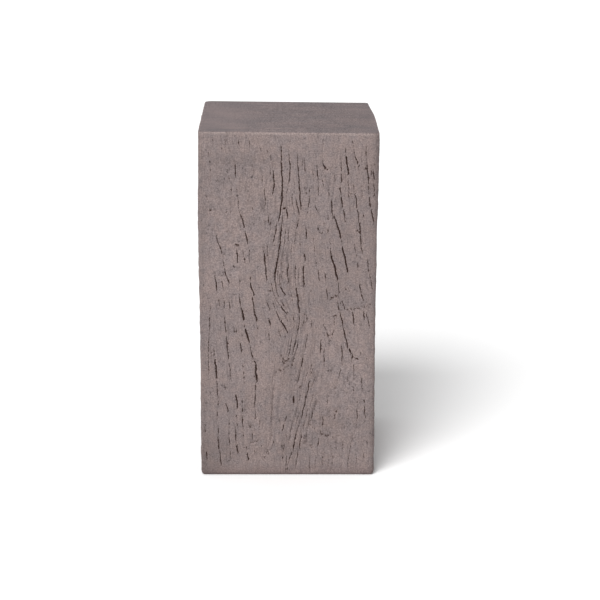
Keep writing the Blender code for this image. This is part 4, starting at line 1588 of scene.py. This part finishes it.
    def arris_strip(self, side: CarvedSide, following: CarvedSide, run: float) -> dict[str, np.ndarray]:
        """The part of the net that goes round the arris between two sides.

        Args:
            side: the side to its left.
            following: the side to its right.
            run: the way round the block to the start of the arris, in metres.

        Returns:
            The same as for the flat of a side.
        """
        right, out = self.axes(side.carving)
        turns = np.arange(1, self.arris_steps) * math.pi / 2 / self.arris_steps
        share = turns / (math.pi / 2)
        bend = np.cos(turns)[:, None] * out + np.sin(turns)[:, None] * right
        centre = right * side.flat / 2 + out * (self.reach(side.carving) - self.arris_radius)
        plain = np.zeros((len(self.insets), len(turns)))
        ends = side.stain_and_shading[self.picked, -1:], following.stain_and_shading[self.picked, :1]
        return {
            "plan": centre + (self.arris_radius - self.insets)[:, :, None] * bend,
            "label": np.broadcast_to(run + turns * self.arris_radius, plain.shape),
            "hollow_shade": plain,
            "stain_and_shading": ends[0] * (1 - share) + ends[1] * share,
            "ribbed": plain,
        }

    def net(self) -> tuple[np.ndarray, np.ndarray, dict[str, np.ndarray]]:
        """The mesh's net, wrapped once round the block.

        Returns:
            Places in metres, grain coordinates in metres and what the finish has to know of
            each point, each over the meridian's rows and the columns.
        """
        strips, run = [], 0.0
        for side, following in zip(self.sides, self.sides[1:] + self.sides[:1]):
            strips.append(self.face_strip(side, run))
            run += side.flat
            strips.append(self.arris_strip(side, following, run))
            run += self.arris_radius * math.pi / 2
        seam = {name: part[:, :1] for name, part in strips[0].items()}
        strips.append(seam | {"label": np.full_like(seam["label"], run)})
        traits = {name: np.concatenate([s[name] for s in strips], axis=1) for name in seam}
        plan, label = traits.pop("plan"), traits.pop("label")
        plan += self.waves(plan)
        up = np.broadcast_to(self.ups, label.shape)
        above = np.clip((up - self.rows[-1]) / self.top_arris_radius, 0, 1)
        worn = np.sin(math.pi * np.clip(above + self.rubbed_from, 0, 1))
        traits["worn"] = np.where(up < self.rows[-1], 0.0, worn)
        traits["trowelled"] = np.where(above > self.rim_share, 1.0, 0.0)
        return np.dstack([plan, up]), np.dstack([label, up]), traits

    def waves(self, plan: np.ndarray) -> np.ndarray:
        """How the sides' waves move places in plan. They fade out round the arrises.

        Args:
            plan: the places, over the rows and columns of the net, in metres.

        Returns:
            The moves in plan, in metres.
        """
        moves = np.zeros_like(plan)
        for side in self.sides:
            right, out = self.axes(side.carving)
            inset = self.reach(side.carving) - plan @ out
            share = np.clip(1 - inset / self.arris_radius, 0, 1)
            rise = self.rise(side.carving, plan @ right, np.broadcast_to(self.ups, share.shape))
            moves += (rise * share)[:, :, None] * out
        return moves

    def build(self) -> Object:
        """Builds the block as one closed mesh with its grain map and its traits.

        Returns:
            The object, at the origin, not yet dressed.
        """
        places, grain, traits = self.net()
        rows, columns = places.shape[0] - 1, places.shape[1] - 1
        bm = bmesh.new()
        bmesh.ops.create_grid(bm, x_segments=columns, y_segments=rows, size=0.5)
        layers = {name: bm.verts.layers.float.new(name) for name in traits}
        grain_map = bm.loops.layers.uv.new("grain")
        cells = {v: (round((v.co.y + 0.5) * rows), round((v.co.x + 0.5) * columns)) for v in bm.verts}
        for face in bm.faces:
            face.smooth = True
            for loop in face.loops:
                loop[grain_map].uv = grain[cells[loop.vert]]
        for vert, cell in cells.items():
            vert.co = places[cell]
            for name, layer in layers.items():
                vert[layer] = traits[name][cell]
        bmesh.ops.remove_doubles(bm, verts=bm.verts, dist=self.merging)
        top = self.cap(bm, self.height, grain_map)
        self.cap(bm, 0.0, grain_map)
        self.trowel(bm, top, layers)
        self.settle(bm)
        bmesh.ops.recalc_face_normals(bm, faces=bm.faces)
        mesh = bpy.data.meshes.new("pedestal_body")
        bm.to_mesh(mesh)
        bm.free()
        body = bpy.data.objects.new("pedestal_body", mesh)
        bpy.context.scene.collection.objects.link(body)
        return body

    def settle(self, bm: BMesh) -> None:
        """Lets the top fall to the right, and lowers its worn corners and draws them in.

        Args:
            bm: the block's mesh.
        """
        for vert in bm.verts:
            x, y, z = vert.co
            share = max(0.0, 1 - (1 - z / self.height) / self.falling_share)
            drop = self.top_fall * (x / self.width + 0.5)
            corner = math.dist((abs(x), abs(y)), (self.width / 2, self.depth / 2))
            wear = self.corner_wear[1] if y > 0 else self.corner_wear[0]
            wear *= math.exp(-((corner / self.corner_reach) ** 2))
            vert.co -= share * Vector((math.copysign(wear, x), math.copysign(wear, y), drop + wear))

    def cap(self, bm: BMesh, up: float, grain_map: BMLayerItem) -> list[BMFace]:
        """Closes the open rim at one height with a border and a flat middle.

        Args:
            bm: the block's mesh.
            up: height of the rim, in metres.
            grain_map: the layer of grain coordinates.

        Returns:
            The middle's face, in a list.
        """
        rim = [e for e in bm.edges if e.is_boundary and abs(e.verts[0].co.z - up) < self.merging]
        share = 1 - 2 * self.cap_border / min(self.width, self.depth)
        grown = bmesh.ops.extrude_edge_only(bm, edges=rim)["geom"]
        inner = [g for g in grown if isinstance(g, BMVert)]
        bmesh.ops.scale(bm, vec=(share, share, 1), verts=inner)
        edges = [g for g in grown if isinstance(g, BMEdge) and g.is_boundary]
        middle = bmesh.ops.contextual_create(bm, geom=edges)["faces"]
        border = [g for g in grown if isinstance(g, BMFace)]
        for face in border + middle:
            face.smooth = up > 0
            for loop in face.loops:
                loop[grain_map].uv = loop.vert.co.xy
        return middle

    def trowel(self, bm: BMesh, top: list[BMFace], layers: dict[str, BMLayerItem]) -> None:
        """Parts the top's middle into small cells, leaves it a little uneven, and gives it blotches and
        painted light and shade.

        Args:
            bm: the block's mesh.
            top: the face of the top's middle.
            layers: the layers of the mesh's traits, by name.
        """
        faces = set(top)
        for axis, size in ((0, self.width), (1, self.depth)):
            normal = [float(axis == 0), float(axis == 1), 0.0]
            count = round(size / self.cap_pitch)
            for i in range(1, count):
                place = [size * (i / count - 0.5) * n for n in normal]
                geometry = {e for f in faces for e in f.edges} | {v for f in faces for v in f.verts}
                cut = bmesh.ops.bisect_plane(
                    bm, geom=[*geometry, *faces], plane_co=place, plane_no=normal, dist=1e-6
                )
                faces = {g for g in cut["geom"] if isinstance(g, BMFace)}
        finer = self.finer_lumps
        for vert in {v for f in faces for v in f.verts}:
            x, y = vert.co.x / self.top_lump_size, vert.co.y / self.top_lump_size
            uneven = noise.noise((x, y, 0.0)) + noise.noise((finer * x, finer * y, 4.0)) / 2
            edge = 1 - 2 * max(abs(vert.co.x) / self.width, abs(vert.co.y) / self.depth)
            sunk = 1 - self.top_lump_share + self.top_lump_share * uneven
            vert.co.z -= self.top_dish * min(1.0, self.top_slope * edge) * sunk
            shares = np.array(vert.co.x / self.width), np.array(vert.co.y / self.depth)
            vert[layers["stain_and_shading"]] = float(sum(stain_and_shading.at(*shares) for stain_and_shading in self.top_stains_and_shading))
            vert[layers["trowelled"]] = 1.0


def linear(shade: str) -> tuple[float, float, float, float]:
    """Turns an sRGB hex value into a linear colour.

    Args:
        shade: the value, as in #rrggbb.

    Returns:
        Red, green, blue and an alpha of 1.
    """
    channels = [int(shade[i : i + 2], 16) / 255 for i in (1, 3, 5)]
    light = [c / 12.92 if c <= 0.04045 else ((c + 0.055) / 1.055) ** 2.4 for c in channels]
    return (*light, 1.0)


def add_node(
    tree: NodeTree,
    kind: str,
    inputs: dict | None = None,
    out: str | int = 0,
    **settings: object,
) -> NodeSocket | None:
    """Adds a node with its settings, values and links.

    Args:
        tree: the node tree.
        kind: the node's type.
        inputs: for an input's name or number, a value or the socket that feeds it.
        out: the output to return, by name or number.
        settings: the node's own options.

    Returns:
        The chosen output of the node, or None where it has none.
    """
    node = tree.nodes.new(kind)
    for name, value in settings.items():
        setattr(node, name, value)
    for name, value in (inputs or {}).items():
        if isinstance(value, NodeSocket):
            tree.links.new(value, node.inputs[name])
        else:
            node.inputs[name].default_value = value
    return node.outputs[out] if len(node.outputs) else None


# A Mix node has its share at input 0, its numbers at 2 and 3, and its colours at 6 and 7.
COLOUR_MIX = {"out": 2, "data_type": "RGBA"}
# The inputs of a Map Range node, in order. The last two are 0 and 1 unless they are given.
SPAN = ("Value", "From Min", "From Max", "To Min", "To Max")
NOISE_MEAN = 0.5
Range = tuple[float, ...]


@dataclass(frozen=True)
class CastTimber:
    """Fibre-reinforced casting stone, cast in a mould taken from an old beam.

    It gives the eye a dry, dead-matt mauve grey: sandy to the pixel, a little warmer where the
    skin is rubbed, with fine dark lines and pits along the grain and brown-black checks, whose
    darkness is painted shade. The top is struck smooth with a trowel and looks greyer, and its
    colour is darker too, as painted shade. Sizes are in millimetres. A range is that of a noise
    or a trait and, where that isn't 0 to 1, what it is turned into.
    """

    warm: str = "#817370"
    cool: str = "#7a6f6e"
    # The bottom of an open check, painted dark brown-black as shade in its depth.
    check: str = "#33231e"
    pit: str = "#393031"
    # The colour that the sides darken to towards the foot.
    foot_colour: str = "#716260"
    rubbed: str = "#91837f"
    # The top's colours: greyer than the sides', and darker as painted shade.
    struck_shaded_warm: str = "#786b6a"
    struck_shaded_cool: str = "#665e5f"
    roughness: float = 0.93
    specular: float = 0.25
    mottle: float = 14.0
    cloud: float = 75.0
    mottle_share: float = 0.55
    tint_range: Range = (0.40, 0.60)
    # Real sand here is 0.5 mm. It is drawn coarser so that it shows in the render.
    sand: float = 2.2
    sand_range: Range = (0.3, 0.7)
    sand_contrast: float = 0.30
    struck_contrast: float = 0.52
    # Pits are where the speckle is high, and deeper where the mottle is.
    speckle: float = 4.0
    speckle_range: Range = (0.59, 0.67)
    pitted_range: Range = (0.45, 0.62, 0.08, 0.6)
    # Lines along the grain, which show more where the face is ribbed.
    line_width: float = 2.4
    line_length: float = 42.0
    line_range: Range = (0.54, 0.70, 0.0)
    ribbed_range: Range = (0.0, 1.5, 0.25, 0.55)
    rubbed_range: Range = (0.35, 0.55)
    darkening_height: float = 26.0
    darkest_share: float = 0.8
    brush_width: float = 2.4
    brush_length: float = 40.0
    brush_share: float = 0.6
    brush_range: Range = (0.42, 0.58)
    # A check's lips: beads of sand make them ragged, and they are painted a little lighter, partly as
    # wear and partly as a painted highlight where they catch the light.
    bead: float = 3.2
    raggedness: float = 1.6
    open_range: Range = (0.08, 0.42)
    skin_range: Range = (0.0, 0.10)
    lip_wear_and_highlight_range: Range = (0.0, 0.12, 0.0, 0.12)
    line_relief: float = 0.4
    bump_strength: float = 0.5
    bump_height: float = 0.6

    def build(self) -> Material:
        """Builds the material.

        Returns:
            The material, for a mesh with a grain map and the block's traits.
        """
        material = bpy.data.materials.new("trowelled_timber_grain_casting_stone")
        material.use_nodes = True
        tree = material.node_tree
        tree.nodes.clear()
        place = add_node(tree, "ShaderNodeTexCoord", out="Object")
        noises = {}
        for name in ("cloud", "mottle", "sand", "speckle", "bead"):
            inputs = {"Vector": place, "Scale": 1 / (getattr(self, name) * MM), "Detail": 2.0}
            noises[name] = add_node(tree, "ShaderNodeTexNoise", inputs)
        for name in ("hollow_shade", "stain_and_shading", "ribbed", "worn", "trowelled"):
            noises[name] = add_node(tree, "ShaderNodeAttribute", out="Fac", attribute_name=name)
        grain = add_node(tree, "ShaderNodeUVMap", uv_map="grain")
        cells = {0: grain, 1: (1 / (self.line_width * MM), 1 / (self.line_length * MM), 1.0)}
        cells = add_node(tree, "ShaderNodeVectorMath", cells, operation="MULTIPLY")
        line = {"Vector": cells, "Scale": 1.0, "Detail": 3.0}
        noises["line"] = add_node(tree, "ShaderNodeTexNoise", line)
        side = self.sanded(tree, noises, self.skin(tree, noises, place), self.sand_contrast)
        top = self.sanded(tree, noises, self.struck(tree, noises, place), self.struck_contrast)
        colour = {0: noises["trowelled"], 6: side, 7: top}
        colour = add_node(tree, "ShaderNodeMix", colour, **COLOUR_MIX)
        # Lips painted lighter: partly wear, partly a painted highlight where they catch the light.
        lip_wear_and_highlight = add_node(tree, "ShaderNodeMapRange", dict(zip(SPAN, (noises["hollow_shade"], *self.lip_wear_and_highlight_range))))
        lip_wear_and_highlight = add_node(tree, "ShaderNodeMath", {0: lip_wear_and_highlight, 1: 1.0}, operation="ADD")
        # The blotches carry painted light and shade, and the lips their painted highlight.
        stain_shade_and_lip_light = add_node(tree, "ShaderNodeMath", {0: noises["stain_and_shading"], 1: lip_wear_and_highlight}, operation="ADD")
        colour = {0: colour, "Scale": stain_shade_and_lip_light}
        colour = add_node(tree, "ShaderNodeVectorMath", colour, operation="SCALE")
        # Open checks take the check colour, painted shade in their depth.
        colour = {0: self.opened(tree, noises), 6: colour, 7: linear(self.check)}
        relief = {0: self.line_relief, 2: noises["sand"], 3: noises["line"]}
        relief = add_node(tree, "ShaderNodeMix", relief, data_type="FLOAT")
        bump = {"Height": relief, "Strength": self.bump_strength, "Distance": self.bump_height * MM}
        shader = {
            "Base Color": add_node(tree, "ShaderNodeMix", colour, **COLOUR_MIX),
            "Roughness": self.roughness,
            "Specular IOR Level": self.specular,
            "Normal": add_node(tree, "ShaderNodeBump", bump),
        }
        finish = add_node(tree, "ShaderNodeBsdfPrincipled", shader)
        add_node(tree, "ShaderNodeOutputMaterial", {"Surface": finish})
        return material

    def skin(self, tree: NodeTree, noises: dict, place: NodeSocket) -> NodeSocket:
        """The sides' colour: patches, fine lines, pits, darker towards the foot, and the rubbed edge.

        Args:
            tree: the node tree.
            noises: the noises and traits, by name.
            place: the object coordinates.

        Returns:
            The colour.
        """
        patch = {0: self.mottle_share, 2: noises["cloud"], 3: noises["mottle"]}
        patch = add_node(tree, "ShaderNodeMix", patch, data_type="FLOAT")
        tint = add_node(tree, "ShaderNodeMapRange", dict(zip(SPAN, (patch, *self.tint_range))))
        colour = {0: tint, 6: linear(self.warm), 7: linear(self.cool)}
        colour = add_node(tree, "ShaderNodeMix", colour, **COLOUR_MIX)
        shown = dict(zip(SPAN, (noises["ribbed"], *self.ribbed_range)))
        shown = add_node(tree, "ShaderNodeMapRange", shown)
        line = (noises["line"], *self.line_range, shown)
        pit = (noises["speckle"], *self.speckle_range)
        pitted = (noises["mottle"], *self.pitted_range)
        line, pit, pitted = (
            add_node(tree, "ShaderNodeMapRange", dict(zip(SPAN, span))) for span in (line, pit, pitted)
        )
        pit = add_node(tree, "ShaderNodeMath", {0: pit, 1: pitted}, operation="MULTIPLY")
        dark = add_node(tree, "ShaderNodeMath", {0: line, 1: pit}, operation="MAXIMUM")
        height = add_node(tree, "ShaderNodeSeparateXYZ", {0: place}, out="Z")
        # Darker towards the foot.
        towards_foot = dict(zip(SPAN, (height, 0.0, self.darkening_height * MM, self.darkest_share, 0.0)))
        towards_foot = add_node(tree, "ShaderNodeMapRange", towards_foot, interpolation_type="SMOOTHSTEP")
        rubbed = dict(zip(SPAN, (noises["mottle"], *self.rubbed_range)))
        rubbed = {0: add_node(tree, "ShaderNodeMapRange", rubbed), 1: noises["worn"]}
        rubbed = add_node(tree, "ShaderNodeMath", rubbed, operation="MULTIPLY")
        for share, shade in ((dark, self.pit), (towards_foot, self.foot_colour), (rubbed, self.rubbed)):
            colour = {0: share, 6: colour, 7: linear(shade)}
            colour = add_node(tree, "ShaderNodeMix", colour, **COLOUR_MIX)
        return colour

    def struck(self, tree: NodeTree, noises: dict, place: NodeSocket) -> NodeSocket:
        """The top's colour: greyer, darker as painted shade, and brushed from left to right.

        Args:
            tree: the node tree.
            noises: the noises and traits, by name.
            place: the object coordinates.

        Returns:
            The colour.
        """
        cells = {0: place, 1: (1 / (self.brush_length * MM), 1 / (self.brush_width * MM), 1.0)}
        cells = add_node(tree, "ShaderNodeVectorMath", cells, operation="MULTIPLY")
        brush = add_node(tree, "ShaderNodeTexNoise", {"Vector": cells, "Scale": 1.0, "Detail": 4.0})
        patch = {0: self.brush_share, 2: noises["cloud"], 3: brush}
        patch = add_node(tree, "ShaderNodeMix", patch, data_type="FLOAT")
        tint = add_node(tree, "ShaderNodeMapRange", dict(zip(SPAN, (patch, *self.brush_range))))
        colour = {0: tint, 6: linear(self.struck_shaded_warm), 7: linear(self.struck_shaded_cool)}
        return add_node(tree, "ShaderNodeMix", colour, **COLOUR_MIX)

    def sanded(
        self, tree: NodeTree, noises: dict, colour: NodeSocket, contrast: float
    ) -> NodeSocket:
        """A colour made lighter and darker by the sand in it.

        Args:
            tree: the node tree.
            noises: the noises and traits, by name.
            colour: the colour.
            contrast: how much lighter and darker, as a share.

        Returns:
            The new colour.
        """
        level = (noises["sand"], *self.sand_range, 1 - contrast, 1 + contrast)
        level = add_node(tree, "ShaderNodeMapRange", dict(zip(SPAN, level)))
        return add_node(tree, "ShaderNodeVectorMath", {0: colour, "Scale": level}, operation="SCALE")

    def opened(self, tree: NodeTree, noises: dict) -> NodeSocket:
        """How far a check's painted shade shows at a place, with lips that the sand makes ragged.

        Args:
            tree: the node tree.
            noises: the noises and traits, by name.

        Returns:
            The share, from 0 on the skin to 1 in the check.
        """
        frayed = {0: noises["bead"], 1: self.raggedness, 2: noises["hollow_shade"]}
        frayed = add_node(tree, "ShaderNodeMath", frayed, operation="MULTIPLY_ADD")
        middle = NOISE_MEAN * self.raggedness
        dark = (frayed, *(middle + limit for limit in self.open_range))
        near = (noises["hollow_shade"], *self.skin_range)
        dark, near = (
            add_node(tree, "ShaderNodeMapRange", dict(zip(SPAN, span))) for span in (dark, near)
        )
        return add_node(tree, "ShaderNodeMath", {0: dark, 1: near}, operation="MULTIPLY")


@dataclass(frozen=True)
class MattPaper:
    """White background paper. It gives the eye a plain pale floor without gloss."""

    white: str = "#f4f4f4"
    roughness: float = 0.9
    specular: float = 0.1

    def build(self) -> Material:
        """Builds the material.

        Returns:
            The material.
        """
        material = bpy.data.materials.new("white_background_paper")
        material.use_nodes = True
        tree = material.node_tree
        tree.nodes.clear()
        shader = {"Base Color": linear(self.white), "Roughness": self.roughness}
        shader["Specular IOR Level"] = self.specular
        finish = add_node(tree, "ShaderNodeBsdfPrincipled", shader)
        add_node(tree, "ShaderNodeOutputMaterial", {"Surface": finish})
        return material


@dataclass(frozen=True)
class Lamp:
    """A lamp as large as a soft box, far away: where it stands from the block, and its light.

    Its bearing runs from the front to the right. Angles are in degrees.
    """

    name: str
    bearing: float
    elevation: float
    strength: float
    spread: float

    def build(self) -> Object:
        """Hangs the lamp, aimed at the block.

        Returns:
            The lamp.
        """
        light = bpy.data.lights.new(self.name, "SUN")
        light.energy = self.strength
        light.angle = math.radians(self.spread)
        lamp = bpy.data.objects.new(self.name, light)
        bearing, elevation = math.radians(self.bearing), math.radians(self.elevation)
        flat = math.cos(elevation)
        towards = Vector((math.sin(bearing) * flat, -math.cos(bearing) * flat, math.sin(elevation)))
        lamp.rotation_euler = towards.to_track_quat("Z", "Y").to_euler()
        bpy.context.scene.collection.objects.link(lamp)
        return lamp


@dataclass(frozen=True)
class Studio:
    """The floor, the lamps and the camera. Lengths are in metres and angles in degrees."""

    floor_reach: float = 30.0
    sky: str = "#ffffff"
    sky_strength: float = 0.36
    lens_mm: float = 104.6
    sensor_mm: float = 36.0
    stand: tuple[float, float, float] = (-0.0225, -3.0041, 1.1443)
    pitch: float = 16.12
    yaw: float = -0.858
    roll: float = 0.336
    lamps: tuple[Lamp, ...] = (
        Lamp("key_light", -28.0, 47.0, 3.2, 34.0),
        Lamp("left_fill", -100.0, 25.0, 0.35, 60.0),
        Lamp("right_fill", 100.0, 25.0, 0.35, 60.0),
        Lamp("back_fill", 180.0, 35.0, 0.5, 60.0),
    )

    def build(self) -> None:
        """Sets the studio up round the block."""
        self.build_floor()
        for lamp in self.lamps:
            lamp.build()
        self.build_sky()
        self.build_camera()
        bpy.context.scene.view_settings.view_transform = "Standard"

    def build_floor(self) -> None:
        """Lays the floor."""
        bm = bmesh.new()
        bmesh.ops.create_grid(bm, x_segments=1, y_segments=1, size=self.floor_reach)
        mesh = bpy.data.meshes.new("floor")
        bm.to_mesh(mesh)
        bm.free()
        floor = bpy.data.objects.new("floor", mesh)
        bpy.context.scene.collection.objects.link(floor)
        mesh.materials.append(MattPaper().build())

    def build_sky(self) -> None:
        """Fills the room with even white light."""
        world = bpy.data.worlds.new("studio")
        world.use_nodes = True
        background = world.node_tree.nodes["Background"]
        background.inputs["Color"].default_value = linear(self.sky)
        background.inputs["Strength"].default_value = self.sky_strength
        bpy.context.scene.world = world

    def build_camera(self) -> None:
        """Stands the camera where the photograph was taken from."""
        camera = bpy.data.cameras.new("camera")
        camera.lens = self.lens_mm
        camera.sensor_width = self.sensor_mm
        stand = bpy.data.objects.new("camera", camera)
        turn = Matrix.Rotation(math.radians(self.yaw), 4, "Z")
        turn @= Matrix.Rotation(math.radians(90 - self.pitch), 4, "X")
        turn @= Matrix.Rotation(math.radians(self.roll), 4, "Z")
        stand.matrix_world = Matrix.Translation(self.stand) @ turn
        bpy.context.scene.collection.objects.link(stand)
        bpy.context.scene.camera = stand


def main() -> None:
    """Builds the pedestal and the studio."""
    low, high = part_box("pedestal")
    size = [h - l for l, h in zip(low, high)]
    body = PedestalBody(*size).build()
    body.data.materials.append(CastTimber().build())
    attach(body, "root")
    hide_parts("pedestal")
    log.info("pedestal_body: %d faces", len(body.data.polygons))
    studio = Studio()
    studio.build()
    log.info("studio: floor, %d lamps and camera", len(studio.lamps))


if __name__ == "__main__":
    logging.basicConfig(level=logging.INFO)
    main()
